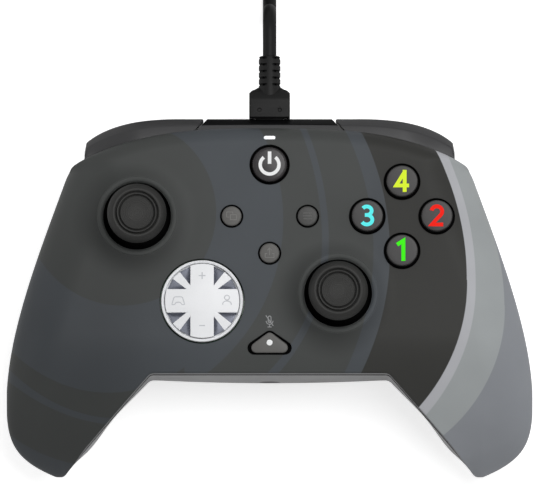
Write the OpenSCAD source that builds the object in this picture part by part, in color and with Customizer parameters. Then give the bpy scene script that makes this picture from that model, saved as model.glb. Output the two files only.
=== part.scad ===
// Wired gamepad: two moulded shells round two boards, with sticks, direction pad,
// buttons, bumpers, triggers, rumble motors and a coiled lead.
// Millimetres. X to the right hand, Y away from the player, Z up, table at Z = 0.

/* [Body] */
// Overall width across the grips
body_w = 155; // [148:0.5:166]
// Centre line of the pad to the back edge of the face
face_back = 48.2; // [46.5:0.1:51]
// Centre line of the pad to the straight front edge between the grips
front_edge = 23.8; // [21:0.1:26]
// Half length of that straight front edge
front_half_w = 35; // [31:0.5:38]
// Centre line of the pad to the grip tips
grip_reach = 52.5; // [49:0.1:56]
// Height of the face above the table
face_z = 46.5; // [45:0.1:50]
// How far the grip tips fall below the face
grip_droop = 22; // [16:0.5:25]
// Underside of the body between the grips
belly_z = 13; // [10:0.5:15]
// Shell wall
wall = 2.2; // [1.8:0.1:2.6]
// Gap along the seam between the two shells
seam = 0.25; // [0.15:0.05:0.4]
// Rounding of the outer sides of the face, across and down
side_round = 15; // [12:0.5:18]
// Rounding of the back edge of the face
back_round = 5; // [4:0.1:5.4]
// Rounding of the front edge of the face
front_round = 1.4; // [0.8:0.1:2]

/* [Sticks] */
// Left stick and action buttons, sideways from the centre, as a share of half the width
stick_share = 0.502; // [0.49:0.001:0.52]
// Left stick, from the centre line
left_stick_y = 22.75; // [21:0.05:24]
// Right stick, sideways from the centre
right_stick_x = 20.1; // [19:0.1:22]
// Right stick, from the centre line
right_stick_y = 0; // [-1:0.1:1]
// Radius of the stick hole in the face
stick_hole_r = 10; // [9.5:0.1:10.6]
// Radius of the thumb disc
thumb_r = 8.7; // [7.5:0.1:9]
// Top of the thumb disc above the face
stick_rise = 12.5; // [12:0.1:14]
// Stick pivot below the face
pivot_depth = 12.5; // [11.5:0.1:13]
// Width of the raised collar round a stick hole
collar_w = 1.8; // [1.2:0.1:2.4]
// Height of that collar
collar_h = 0.9; // [0.5:0.1:1.2]

/* [Direction pad] */
// Centre of the direction pad, sideways to the left
dpad_x = 19.8; // [19:0.1:21]
// Centre of the direction pad, from the centre line
dpad_y = -2.3; // [-3.5:0.1:-1.5]
// Outer radius of the direction pad
dpad_r = 12; // [11:0.1:12.6]
// Width of the four arms
dpad_arm_w = 6.9; // [5.5:0.1:8]
// Top of the arms above the face
dpad_rise = 1.6; // [1:0.1:2.2]

/* [Buttons] */
// Centre of the four action buttons, from the centre line
action_y = 22.75; // [21.5:0.05:24]
// Action buttons, from their common centre
action_pitch = 10.2; // [9.6:0.1:11]
// Radius of an action button
action_r = 4.8; // [4.2:0.1:5]
// Top of an action button above the face
action_rise = 2.2; // [1.8:0.1:3]
// Travel of an action button
action_travel = 1.4; // [1:0.1:1.6]
// Home button, from the centre line
home_y = 38; // [37:0.1:39]
// Radius of the home button
home_r = 5.2; // [4.6:0.1:5.6]
// View and menu buttons, sideways from the centre
menu_x = 11.15; // [10:0.05:12]
// View and menu buttons, from the centre line
menu_y = 22.75; // [21:0.05:24]
// Share button, from the centre line
share_y = 11.85; // [11:0.05:13]
// Radius of the view, menu and share buttons
small_r = 2.9; // [2.5:0.1:3.2]
// Mute button, from the centre line to the middle of its triangle
mute_y = -14.6; // [-15.2:0.1:-14.3]
// Half width of the mute button along its base
mute_half_w = 6; // [5.5:0.1:6.4]
// Height of the mute button from base to apex
mute_h = 5.8; // [5.4:0.1:6.4]
// Gap between a button and its hole
button_gap = 0.5; // [0.4:0.05:0.6]

/* [Shoulders] */
// Centre line of the pad to the back of the bumpers
bumper_back = 52.4; // [52:0.1:54]
// Outer end of a bumper, sideways from the centre
bumper_end = 54.5; // [53:0.1:55.5]
// Height of a bumper
bumper_h = 10.4; // [9.5:0.1:10.8]
// Inner end of a bumper at its back, sideways from the centre
bumper_split = 18.6; // [18:0.1:20]
// Width of a trigger at its top
trigger_w = 22.5; // [20:0.5:24]
// Middle of a trigger, sideways from the centre
trigger_x = 40.5; // [39.5:0.1:41]
// Height of the trigger pivot
trigger_pivot_z = 30.3; // [30:0.1:31]
// Trigger pivot, from the centre line
trigger_pivot_y = 34; // [33.6:0.1:34.4]
// Radius of a trigger pin
trigger_pin_r = 1; // [0.8:0.1:1.2]
// Lowest point of a trigger above the table
trigger_low = 5; // [4:0.1:7]

/* [Inside] */
// Thickness of the two circuit boards
board_t = 1.6; // [1.2:0.1:1.8]
// Height of the headset jack above the table
jack_z = 28; // [27:0.1:29]
// Bore radius of the headset jack
jack_bore_r = 1.8; // [1.6:0.05:2]
// Depth of the headset jack
jack_depth = 14; // [12:0.5:15]
// Radius of a rumble motor
motor_r = 6; // [5:0.1:6.5]
// Length of a rumble motor
motor_len = 16; // [13:0.5:18]
// Rumble motors, in from the sides of the grips
motor_inset = 17.5; // [17:0.25:19]

/* [Lead] */
// Diameter of the lead
cord_d = 4; // [3.6:0.1:4.2]
// Width of the plug moulding
plug_w = 12; // [10:0.1:13]
// Length of the plug moulding
plug_len = 8.5; // [7.8:0.1:8.7]
// Diameter of the strain relief
relief_d = 6.4; // [5.6:0.1:7]
// Turns in each layer of the coil
coil_turns = 4; // [3:1:4]
// Step between turns and between layers of the coil
coil_step = 4.45; // [4.45:0.05:4.7]

/* [Hidden] */
half_w = body_w / 2;
// Clearance of a moving piece, and of a pin in its bore
clear = 0.3;
fit = 0.05;
face_under = face_z - wall;

// Outline of the face seen from above, right half, as Bezier curves
shoulder = [half_w - 19.3, face_back - 9.2];
widest = [half_w, -31];
grip_out = [half_w - 14, 0.7 - grip_reach];
tip_corner = [half_w - 16.2, -0.2 - grip_reach];
tip_in = [half_w - 17.6, 1.35 - grip_reach];
notch = [front_half_w, -front_edge];
notch_blend = 6;
notch_dir = (tip_in - notch) / norm(tip_in - notch);

function mix(a, b, t) = a + (b - a) * t;
function smooth(t) = let (u = max(0, min(1, t))) u * u * (3 - 2 * u);
function bezier(p, t) =
    let (u = 1 - t)
    u * u * u * p[0] + 3 * u * u * t * p[1] + 3 * u * t * t * p[2] + t * t * t * p[3];
function curve(p, n) = [for (i = [0:n]) bezier(p, i / n)];
// A corner blended between two points, with its vertex c
function corner(a, c, b, n) = curve([a, mix(a, c, 2 / 3), mix(b, c, 2 / 3), b], n);

back_line = [for (i = [0:6]) let (t = i / 6)
    [shoulder[0] * t, face_back - (face_back - shoulder[1]) * pow(t, 3)]];
flank = curve([shoulder, shoulder + [7.8, -21.8], widest + [0, 21], widest], 9);
grip_end = concat(
    curve([widest, widest - [0, 11], grip_out + [12, 4.8], grip_out], 7),
    corner(grip_out, tip_corner, tip_in, 3));
side_line = concat(flank, grip_end);
front_line = concat(
    [tip_in],
    corner(notch + notch_blend * notch_dir, notch, notch - [notch_blend, 0], 4),
    [[0, -front_edge]]);
hi_table = concat(back_line, flank);
lo_table = concat(front_line, grip_end);

// Back and front edge of the outline at a place x, drawn in by w
function edge_hi(x, w) =
    w == 0 ? lookup(x, hi_table) : min(lookup(x, hi_table) - w, lookup(x + w, hi_table));
function edge_lo(x, w) =
    w == 0 ? lookup(x, lo_table)
    : max(lookup(x, lo_table) + w, lookup(x + w, lo_table), lookup(max(0, x - w), lo_table));

function segment_gap(p, a, b) =
    let (ab = b - a, t = max(0, min(1, ((p - a) * ab) / (ab * ab))))
    norm(p - a - t * ab);
function line_gap(p, line) =
    min([for (i = [0:len(line) - 2]) segment_gap(p, line[i], line[i + 1])]);
// Distances of a point from the side, back and front edges, less w
function edge_gaps(p, w) =
    [for (line = [side_line, back_line, front_line]) max(0, line_gap(p, line) - w)];

// The face has a slight crown and falls away over the grips
crown = 0.25;
grip_start = -12;
function face_at(x, y) =
    face_z - crown * (pow(x / half_w, 2) + pow(y / grip_reach, 2))
    - (y > grip_start ? 0 : grip_droop * pow((grip_start - y) / (grip_start + grip_reach), 1.7));
function round_drop(d, r, h) = d >= r ? 0 : h * (1 - sqrt(1 - pow(1 - d / r, 2)));
// The sides are rounded less deeply at the grip tips, by this share
tip_share = 0.4;
function side_drop(y) =
    side_round * mix(1, tip_share, smooth((grip_start - y) / (grip_start + grip_reach)));
// Height of the top shell's skin, w inside its outer face; g holds the edge gaps
function top_skin(x, y, g, w) =
    face_at(x, y) - w - pow(
        pow(round_drop(g[0], side_round - w, side_drop(y) - w), 4)
        + pow(round_drop(g[1], back_round - w, back_round - w), 4)
        + pow(round_drop(g[2], front_round - w, front_round - w), 4), 1 / 4);

// Underside: a flat belly that runs out into the rounded grips
grip_low_y = -36;
grip_foot = 0.5;
under_side_round = 17;
under_back_round = 9;
function grip_under(y) =
    max(0, (y > grip_low_y ? 0.0045 : 0.02) * pow(y - grip_low_y, 2) - grip_foot);
function under_at(x, y) = mix(belly_z, grip_under(y), smooth((abs(x) - 30) / 22));
function fullness(d, r, n) = d >= r ? 1 : pow(1 - pow(1 - d / r, n), 1 / n);
function rear_skin(x, y, g, w) =
    let (grip = smooth((abs(x) - 34) / 12),
        s = fullness(g[0], under_side_round, 2) * fullness(g[1], under_back_round, 2.5)
            * fullness(g[2], mix(5, 14, grip), mix(4, 2.2, grip)),
        top = top_skin(x, y, g, w))
    top + (under_at(x, y) + w - top) * s - seam * (1 - s);
function top_at(p) = top_skin(p[0], p[1], edge_gaps([abs(p[0]), p[1]], 0), 0);
function rear_at(p) = rear_skin(p[0], p[1], edge_gaps([abs(p[0]), p[1]], 0), 0);

// A shell is lofted on sections across X, each a row of points from front to back
sections = 30;
rows = 14;
end_trim = 0.1;
function half_skin(rear, w) =
    [for (i = [0:sections])
        let (x = (half_w - w - end_trim) * sin(90 * i / sections),
            lo = edge_lo(x, w), hi = edge_hi(x, w))
        [for (j = [0:rows])
            let (y = mix(lo, hi, (1 - cos(180 * j / rows)) / 2),
                gaps = edge_gaps([x, y], w),
                g = i < sections ? gaps : [0, gaps[1], gaps[2]])
            [x, y, rear ? rear_skin(x, y, g, w) : top_skin(x, y, g, w)]]];
function mirrored(half) =
    concat([for (i = [sections:-1:1]) [for (p = half[i]) [-p[0], p[1], p[2]]]], half);
function flat_list(v) = [for (a = v) for (b = a) b];
function flip(faces, on) = on ? [for (f = faces) [f[2], f[1], f[0]]] : faces;

module shell(rear) {
    cols = rows + 1;
    last = 2 * sections;
    count = (last + 1) * cols;
    skin = [for (i = [0:last - 1]) for (j = [0:rows - 1])
        let (a = i * cols + j, b = a + cols)
        each i < sections ? [[a, a + 1, b], [a + 1, b + 1, b]]
            : [[a, a + 1, b + 1], [a, b + 1, b]]];
    lining = [for (f = flip(skin, true)) f + [count, count, count]];
    loop = concat(
        [for (j = [0:rows - 1]) j],
        [for (i = [0:last - 1]) i * cols + rows],
        [for (j = [rows:-1:1]) last * cols + j],
        [for (i = [last:-1:1]) i * cols]);
    rim = [for (k = [0:len(loop) - 1])
        let (a = loop[k], b = loop[(k + 1) % len(loop)])
        each [[b, a, a + count], [b, a + count, b + count]]];
    points = concat(
        flat_list(mirrored(half_skin(rear, 0))),
        flat_list(mirrored(half_skin(rear, wall))));
    polyhedron(points, flip(concat(rim, skin, lining), rear), convexity = 8);
}

// Levels inside the body, from the face down
flange_t = 1.5;
flange_w = 1.1;
membrane_t = 1;
socket_h = 4;
jack_half = 3.2;
press_room = 0.1;
button_low = face_under - clear - flange_t;
top_board_z = button_low - action_travel - press_room - membrane_t;
top_board_low = top_board_z - board_t;
main_board_z = jack_z - jack_half;
main_board_low = main_board_z - board_t;
pivot_z = face_z - pivot_depth;
plug_z = top_board_low - socket_h / 2;
bumper_top = face_z - back_round - clear;
bumper_low = bumper_top - bumper_h;
trigger_top = bumper_low - 1.5 * clear;
frame_t = 3;
frame_low = main_board_low - frame_t;

// Places seen from above
left_stick = [-stick_share * half_w, left_stick_y];
right_stick = [right_stick_x, right_stick_y];
dpad = [-dpad_x, dpad_y];
action = [stick_share * half_w, action_y];
action_dirs = [[0, 1], [-1, 0], [1, 0], [0, -1]];
home = [0, home_y];
view = [-menu_x, menu_y];
menu = [menu_x, menu_y];
share = [0, share_y];
mute = [0, mute_y];
led = [0, face_back - 2.2];
board_posts = [[-38, -4], [38, -4], [-20, 17], [16.5, 28]];
case_post_x = 0.671 * half_w;
case_posts = [[-case_post_x, -8], [case_post_x, -8], [-case_post_x, 6], [case_post_x, 6]];

// Screws
board_screw_r = 0.9;
board_post_r = 2.4;
case_screw_r = 1.4;
case_head_r = 2.7;
case_seat_z = 20;
case_joint_z = 30;
case_post_r = 3.2;
case_tube_r = 4.4;
screw_bite = 7;

module at(p, z = 0) {
    translate([p[0], p[1], z]) children();
}
// Highest skin of the rear shell, and lowest of the top shell, under a round foot
foot_dirs = [for (a = [0:45:315]) [cos(a), sin(a)]];
function rear_seat(p, r) = max([for (d = foot_dirs) rear_at(p + r * d)]) + clear;
function top_seat(p, r) = min([for (d = foot_dirs) top_at(p + r * d)]) - clear;
module both_sides() {
    children();
    mirror([1, 0, 0]) children();
}
module along_x(p, r, h) {
    translate(p) rotate([0, 90, 0]) cylinder(r = r, h = h, center = true);
}
module along_y(p, r, h) {
    translate(p) rotate([-90, 0, 0]) cylinder(r = r, h = h);
}

// Rounded triangle of the mute button, apex away from the player, grown by g
mute_round = 3.2;
mute_apex = 1;
mute_flare = 1.3;
function mute_outline(g) =
    let (low = -mute_h / 2 - g, top = mute_h / 2 + g * 1.3, side = mute_half_w + g * 1.3,
        a = [0, top + mute_apex], b = [side + mute_flare, low], c = [-side - mute_flare, low],
        r = mute_round + g)
    concat(
        corner(a + r * (c - a) / norm(c - a), a, a + r * (b - a) / norm(b - a), 4),
        corner(b + r * (a - b) / norm(a - b), b, b + [-r, 0], 4),
        corner(c + [r, 0], c, c + r * (a - c) / norm(a - c), 4));

led_w = 3.4;
led_d = 1.2;
led_rise = 0.15;
module led_pill(g) {
    at(led, face_z - back_round - 2) {
        translate([-led_w / 2 + led_d / 2, -led_d / 2 - g, 0])
            cube([led_w - led_d, led_d + 2 * g, back_round + 1]);
        for (x = [-1, 1])
            translate([x * (led_w - led_d) / 2, 0, 0]) cylinder(r = led_d / 2 + g, h = back_round + 1);
    }
}

dpad_gap = 0.5;
// Room for a button's flange and its travel where the face curves down over it
module flange_room(p, r, travel) {
    at(p, button_low - travel - clear)
        cylinder(r = r + flange_w + clear, h = face_under - button_low + travel + clear);
}
module top_shell() color("dimgray") difference() {
    union() {
        shell(false);
        for (p = [left_stick, right_stick]) at(p, face_z - wall / 2)
            cylinder(r = stick_hole_r + collar_w, h = wall / 2 + collar_h);
        for (p = board_posts) at(p, top_board_z)
            cylinder(r = board_post_r, h = face_z - wall / 2 - top_board_z);
        for (p = case_posts) at(p, case_joint_z)
            cylinder(r = case_post_r, h = top_seat(p, case_post_r) - case_joint_z);
    }
    for (p = [left_stick, right_stick]) at(p, face_under - wall)
        cylinder(r = stick_hole_r, h = 3 * wall);
    at(dpad, face_under - wall) cylinder(r = dpad_r + dpad_gap, h = 3 * wall);
    for (d = action_dirs) at(action + action_pitch * d, face_under - wall)
        cylinder(r = action_r + button_gap, h = 3 * wall);
    at(home, face_under - wall) cylinder(r = home_r + button_gap, h = 3 * wall);
    for (p = [view, menu, share]) at(p, face_under - wall)
        cylinder(r = small_r + button_gap, h = 3 * wall);
    at(mute, face_under - wall) linear_extrude(3 * wall) polygon(mute_outline(button_gap));
    for (d = action_dirs) flange_room(action + action_pitch * d, action_r, action_travel);
    flange_room(home, home_r, small_travel);
    at(mute, button_low - small_travel - clear)
        linear_extrude(face_under - button_low + small_travel + clear)
        polygon(mute_outline(flange_w + clear));
    shoulder_room(0, bumper_top + clear, end_drop_to, bumper_deep + press_sweep);
    shoulder_room(0, bumper_top - end_drop + clear, shoulder_cut, bumper_deep + press_sweep);
    led_pill(fit);
    for (p = board_posts) at(p, top_board_z - 1)
        cylinder(r = board_screw_r + fit, h = face_under - top_board_z + 0.5);
    for (p = case_posts) at(p, case_joint_z - 1) cylinder(r = case_screw_r + fit, h = screw_bite + 1.5);
}

// Openings at the back of the rear shell for the bumpers, the bridge and the triggers
shoulder_cut = bumper_end + 0.5;
function back_at(x) = edge_hi(abs(x), 0);
shoulder_deep = 8;
press_sweep = 1.7;
module shoulder_room(low, high, end, deep) {
    translate([0, 0, low]) linear_extrude(high - low) polygon(concat(
        [for (i = [-8:8]) let (x = end * i / 8) [x, back_at(x) - deep]],
        [[end, 2 * face_back], [-end, 2 * face_back]]));
}
module shoulder_openings() {
    shoulder_room(bumper_low - clear, face_z, shoulder_cut, shoulder_deep);
    both_sides() translate([trigger_x - trigger_w / 2 - well_gap, trigger_pivot_y + well_y, 0])
        cube([trigger_w + 2 * well_gap, face_back, bumper_low]);
    both_sides() translate([trigger_x - ear_reach - clear, trigger_pivot_y - ear_half - clear,
        trigger_pivot_z - hub_r - 4 * clear])
        cube([2 * (ear_reach + clear), 2 * (ear_half + clear), face_z]);
}
// Room beside a trigger, and the well it swings in behind its pivot
well_gap = 0.8;
well_y = 2.5;

rib_w = 5;
rib_t = 2;
motor_x = half_w - motor_inset;
motor_y = -36;
motor_z = 20;
motor_ribs = [motor_y + 2, motor_y + motor_len - 4];
jack_barrel_r = 3;
module rear_shell() color("silver") difference() {
    union() {
        shell(true);
        for (p = case_posts) let (low = rear_seat(p, case_tube_r)) at(p, low)
            cylinder(r = case_tube_r, h = case_joint_z - seam - low);
        both_sides() for (y = motor_ribs) let (low = rear_seat([motor_x, y + rib_t / 2], rib_w / 2))
            translate([motor_x - rib_w / 2, y, low]) cube([rib_w, rib_t, motor_z - motor_r + 1 - low]);
    }
    shoulder_openings();
    for (p = case_posts) {
        at(p, -1) cylinder(r = case_head_r + clear, h = case_seat_z + 1);
        at(p, -1) cylinder(r = case_screw_r + fit, h = face_z);
    }
    both_sides() along_y([motor_x, motor_y - 1, motor_z], motor_r + fit, motor_len + 2);
    along_y([0, -front_edge - 2, jack_z], jack_barrel_r + fit, 3 * wall);
    translate([-jack_half - clear, -front_edge + wall, jack_z - jack_half - clear])
        cube(2 * (jack_half + clear));
}

// Section of the bumpers and the bridge between them, lofted along the back edge
bumper_deep = 2.5;
bumper_bow = [[25, bumper_back], [36, bumper_back + 0.2], [46.5, bumper_back - 2.1],
    [bumper_end - 0.5, bumper_back - 7.5]];
bow_line = concat([[0, bumper_back]], curve(bumper_bow, 8), [[bumper_end, bumper_back - 9.5]]);
// The top of a bumper dips under the falling edge of the face at its outer end
end_drop = 2.3;
end_drop_from = 44;
end_drop_to = 50;
function bumper_crest(x) =
    bumper_top - end_drop * smooth((abs(x) - end_drop_from) / (end_drop_to - end_drop_from));
function bumper_section(x) =
    let (front = back_at(x) - bumper_deep, back = lookup(abs(x), bow_line), span = back - front,
        top = bumper_crest(x))
    [[x, front, bumper_low], [x, front, top], [x, front + 0.4 * span, top],
        [x, back - 0.3 * span, top - 0.35], [x, back - 0.04 * span, top - 2.8],
        [x, back, top - 0.4 * bumper_h], [x, back - 0.1 * span, bumper_low + 0.6],
        [x, back - 0.2 * span, bumper_low]];
module bumper_loft(from, to, count) {
    n = 8;
    points = [for (i = [0:count]) each bumper_section(mix(from, to, i / count))];
    sides = [for (i = [0:count - 1]) for (j = [0:n - 1])
        let (a = i * n + j, b = i * n + (j + 1) % n)
        each [[a, b, b + n], [a, b + n, a + n]]];
    caps = [for (j = [1:n - 2]) each [[0, j + 1, j], [count * n, count * n + j, count * n + j + 1]]];
    polyhedron(points, concat(sides, caps), convexity = 4);
}
// The slanted cut between the bridge and a bumper, moved outward by g
slant = 40;
split_gap = 0.8;
module split_side(g) {
    translate([bumper_split + g, bumper_back, 0]) rotate([0, 0, slant])
        translate([-body_w, -body_w, 0]) cube([body_w, 2 * body_w, face_z]);
}

bumper_pin = [22.6, 42.5];
bumper_pin_r = 1;
boss_r = 2.4;
module right_bumper() color([0.13, 0.13, 0.14]) difference() {
    union() {
        difference() {
            bumper_loft(bumper_split - 1, bumper_end, 14);
            split_side(split_gap / 2);
        }
        at(bumper_pin, bumper_low) cylinder(r = boss_r, h = bumper_h);
        translate([bumper_pin[0] + 0.6, bumper_pin[1], bumper_low]) cube([boss_r, 5, bumper_h]);
    }
    at(bumper_pin, 0) cylinder(r = bumper_pin_r + 2 * fit, h = face_z);
}
module left_bumper() mirror([1, 0, 0]) right_bumper();

bridge_half = bumper_split + 3.8;
slot_w = 9;
slot_h = 4;
module top_bridge() color([0.16, 0.16, 0.17]) difference() {
    intersection() {
        bumper_loft(-bridge_half, bridge_half, 10);
        split_side(-split_gap / 2);
        mirror([1, 0, 0]) split_side(-split_gap / 2);
    }
    translate([-slot_w / 2, 0, plug_z - slot_h / 2]) cube([slot_w, 2 * face_back, slot_h]);
}
module status_led() color("white") intersection() {
    led_pill(0);
    at(led, bumper_top + clear) cylinder(r = led_w, h = top_at(led) + led_rise - bumper_top - clear);
}

// Triggers: a curved blade on two arms that turn on a pin
hub_r = 2.6;
arm_t = 3;
arm_half = 6.5;
ear_t = 1.6;
ear_gap = 0.4;
ear_reach = arm_half + ear_gap + ear_t;
neck_y = 7;
blade_t = 3;
trigger_taper = 3;
trigger_back = bumper_back - 1.9;
trigger_inset = 0.8;
trigger_round = 5;
blade_outer = curve([[trigger_back, trigger_top], [trigger_back - 1.5, mix(trigger_low, trigger_top, 0.62)],
    [trigger_back - 6, mix(trigger_low, trigger_top, 0.25)], [trigger_back - 1.2, trigger_low]], 8);
blade_inner = curve([[trigger_back - 1.6 - blade_t / 2, trigger_low],
    [trigger_back - 6 - blade_t, mix(trigger_low, trigger_top, 0.22)],
    [trigger_back - 2.5 - blade_t, mix(trigger_low, trigger_top, 0.5)],
    [trigger_back - 3.5 - blade_t, trigger_pivot_z - hub_r]], 8);
module trigger_profile() {
    polygon(concat(blade_outer, blade_inner,
        [[trigger_pivot_y, trigger_pivot_z - hub_r], [trigger_pivot_y, trigger_top]]));
}
// Outline of a trigger seen from behind
function trigger_front() =
    let (a = trigger_w / 2, b = a - trigger_taper, low = trigger_low - 0.1)
    concat([[a, trigger_top + 1]],
        corner([b + 0.8, low + trigger_round], [b, low], [b - trigger_round, low], 5),
        corner([-b + trigger_round, low], [-b, low], [-b - 0.8, low + trigger_round], 5),
        [[-a, trigger_top + 1]]);
module right_trigger() color([0.12, 0.12, 0.13]) difference() {
    union() {
        intersection() {
            translate([trigger_x, 0, 0]) rotate([90, 0, 90])
                linear_extrude(trigger_w, center = true) trigger_profile();
            translate([trigger_x, bumper_back + 1, 0]) rotate([90, 0, 0])
                linear_extrude(bumper_back) polygon(trigger_front());
            linear_extrude(face_z) polygon(concat([[0, 0]],
                [for (p = bow_line) p - [0, trigger_inset]], [[bumper_end, 0]]));
        }
        along_x([trigger_x, trigger_pivot_y, trigger_pivot_z], hub_r, 2 * arm_half);
    }
    for (x = [-trigger_w - arm_half, arm_half]) translate([trigger_x + x, trigger_pivot_y - 2 * hub_r, 0])
        cube([trigger_w, 2 * hub_r + neck_y, face_z]);
    translate([trigger_x - arm_half + arm_t, trigger_pivot_y - 2 * hub_r, 0])
        cube([2 * (arm_half - arm_t), 2 * hub_r + neck_y - 1, face_z]);
    along_x([trigger_x, trigger_pivot_y, trigger_pivot_z], trigger_pin_r + 2 * fit, trigger_w);
}
module left_trigger() mirror([1, 0, 0]) right_trigger();
module trigger_pins() color("silver") both_sides()
    along_x([trigger_x, trigger_pivot_y, trigger_pivot_z], trigger_pin_r,
        2 * ear_reach);
module bumper_pins() color("silver") both_sides()
    at(bumper_pin, lug_low) cylinder(r = bumper_pin_r, h = bumper_top - 0.6 - lug_low);

// A tube swept along points; ref is a direction that the path never follows
function unit(v) = v / norm(v);
function path_dir(path, i) =
    unit(path[min(i + 1, len(path) - 1)] - path[max(i - 1, 0)]);
module tube(path, r, sides, ref) {
    last = len(path) - 1;
    points = [for (i = [0:last])
        let (t = path_dir(path, i), n = unit(ref - (ref * t) * t), b = cross(t, n))
        for (k = [0:sides - 1]) path[i] + r * (cos(360 * k / sides) * n + sin(360 * k / sides) * b)];
    skin = [for (i = [0:last - 1]) for (k = [0:sides - 1])
        let (a = i * sides + k, b = i * sides + (k + 1) % sides)
        each [[a, b + sides, b], [a, a + sides, b + sides]]];
    caps = [for (k = [1:sides - 2])
        each [[0, k, k + 1], [last * sides, last * sides + k + 1, last * sides + k]]];
    polyhedron(points, concat(skin, caps), convexity = 10);
}

// Torsion spring of a trigger: curls round the pin between the arms
spring_wire_r = 0.45;
spring_curls = 4;
spring_pitch = 1.3;
spring_r = 1.8;
curl_rings = 8;
module right_trigger_spring() color("gray") {
    steps = spring_curls * curl_rings;
    tube([for (i = [0:steps])
        let (a = 360 * i / curl_rings)
        [trigger_x + spring_pitch * (i / curl_rings - spring_curls / 2),
            trigger_pivot_y + spring_r * cos(a), trigger_pivot_z + spring_r * sin(a)]],
        spring_wire_r, 6, [1, 0, 0]);
}
module left_trigger_spring() mirror([1, 0, 0]) right_trigger_spring();

// Boards and the frame below them
stick_dome_r = 13.6;
dome_room = 0.7;
board_side = half_w - 23;
board_back = face_back - 10;
board_tab = 8;
board_front = 3.8 - front_edge;
top_board_half = [[0, board_front], [22, board_front], [34, -13], [board_side - 8, -9], [board_side, 3],
    [board_side, board_back - 4.2], [board_side - 5, board_back], [board_tab, board_back],
    [board_tab, face_back - 3], [0, face_back - 3]];
main_side = half_w - 30.5;
main_back = 31;
main_front = 1 + wall - front_edge;
main_board_half = [[0, main_front], [28, main_front], [main_side, -12], [main_side, main_back],
    [0, main_back]];
function mirror_outline(half) =
    concat(half, [for (i = [len(half) - 1:-1:0]) if (half[i][0] > 0) [-half[i][0], half[i][1]]]);
module button_board() color([0.1, 0.35, 0.2]) difference() {
    translate([0, 0, top_board_low]) linear_extrude(board_t) polygon(mirror_outline(top_board_half));
    for (p = [left_stick, right_stick]) at(p) cylinder(r = stick_dome_r + dome_room, h = face_z);
    for (p = board_posts) at(p) cylinder(r = board_screw_r + fit, h = face_z);
    for (p = case_posts) at(p) cylinder(r = case_post_r + clear, h = face_z);
}
module main_board() color([0.1, 0.3, 0.18]) difference() {
    translate([0, 0, main_board_low]) linear_extrude(board_t) polygon(mirror_outline(main_board_half));
    for (p = board_posts) at(p) cylinder(r = board_screw_r + fit, h = face_z);
}
module board_spacers() color("ivory") for (p = board_posts) at(p, main_board_z) difference() {
    cylinder(r = board_post_r, h = top_board_low - main_board_z);
    translate([0, 0, -1]) cylinder(r = board_screw_r + fit, h = face_z);
}
screw_head_r = 2;
screw_head_t = 1.4;
module board_screws() color("silver") for (p = board_posts) at(p, main_board_low) {
    cylinder(r = board_screw_r, h = face_under - 1 - main_board_low);
    translate([0, 0, -screw_head_t]) cylinder(r = screw_head_r, h = screw_head_t);
}
module case_screws() color("dimgray") for (p = case_posts) at(p, case_seat_z) difference() {
    union() {
        cylinder(r = case_screw_r, h = case_joint_z + screw_bite - case_seat_z);
        translate([0, 0, -screw_head_t - 0.6]) cylinder(r = case_head_r, h = screw_head_t + 0.6);
    }
    translate([0, 0, -3]) cylinder(r = 1, h = 2.2, $fn = 6);
}
lug_t = 2.4;
lug_low = bumper_low - clear - lug_t;
frame_w = 52;
frame_front = -9;
frame_legs = [[-21, -6], [21, -6], [-10, 27], [10, 27]];
leg_r = 2.2;
ear_half = 3;
yoke_t = 2;
yoke_deep = 4.6;
column_x = 20;
column_w = 6;
module mid_frame() color([0.25, 0.25, 0.27]) difference() {
    yoke_low = trigger_pivot_z + hub_r + ear_gap;
    front = trigger_pivot_y - ear_half;
    union() {
        translate([-frame_w / 2, frame_front, frame_low])
            cube([frame_w, main_back - frame_front, frame_t]);
        for (p = frame_legs) at(p, belly_z + wall + clear)
            cylinder(r = leg_r, h = frame_low - belly_z - wall);
        both_sides() {
            translate([column_x, front - 4, frame_low]) cube([column_w, 4 + 2 * ear_half, frame_t]);
            translate([column_x, front + clear, frame_low])
                cube([column_w, 2 * ear_half - clear, yoke_low + yoke_t - frame_low]);
            translate([column_x, trigger_pivot_y, yoke_low])
                cube([trigger_x + ear_reach - column_x, yoke_deep, yoke_t]);
            for (x = [-ear_reach, arm_half + ear_gap])
                translate([trigger_x + x, front + clear, trigger_pivot_z - hub_r])
                cube([ear_t, 2 * ear_half - clear, yoke_low + 1 - trigger_pivot_z + hub_r]);
            translate([column_x, front + clear, lug_low])
                cube([column_w, bumper_pin[1] + 1.6 - front, lug_t]);
        }
    }
    both_sides() {
        along_x([trigger_x, trigger_pivot_y, trigger_pivot_z], trigger_pin_r + fit, trigger_w);
        at(bumper_pin, 0) cylinder(r = bumper_pin_r + fit, h = face_z);
    }
    for (p = board_posts) at(p) cylinder(r = screw_head_r + clear, h = face_z);
    at(left_stick, pivot_z - 0.1) cylinder(r = stick_dome_r + dome_room, h = face_z);
}
socket_w = 8;
socket_depth = 6.6;
module usb_socket() color("silver") {
    front = face_back - bumper_deep - socket_depth;
    difference() {
        translate([-socket_w / 2, front - clear, plug_z - socket_h / 2])
            cube([socket_w, socket_depth, socket_h]);
        translate([-tongue_w / 2 - 2 * fit, front + 1, plug_z - tongue_h / 2 - 2 * fit])
            cube([tongue_w + 4 * fit, socket_depth, tongue_h + 4 * fit]);
    }
}
module headset_jack() color([0.1, 0.1, 0.1]) difference() {
    face_y = -front_edge - 0.2;
    union() {
        along_y([0, face_y, jack_z], jack_barrel_r, wall + 2);
        translate([-jack_half, -front_edge + wall + clear, jack_z - jack_half])
            cube([2 * jack_half, jack_depth - wall, 2 * jack_half]);
    }
    along_y([0, face_y - 1, jack_z], jack_bore_r, jack_depth + 1);
}

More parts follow.
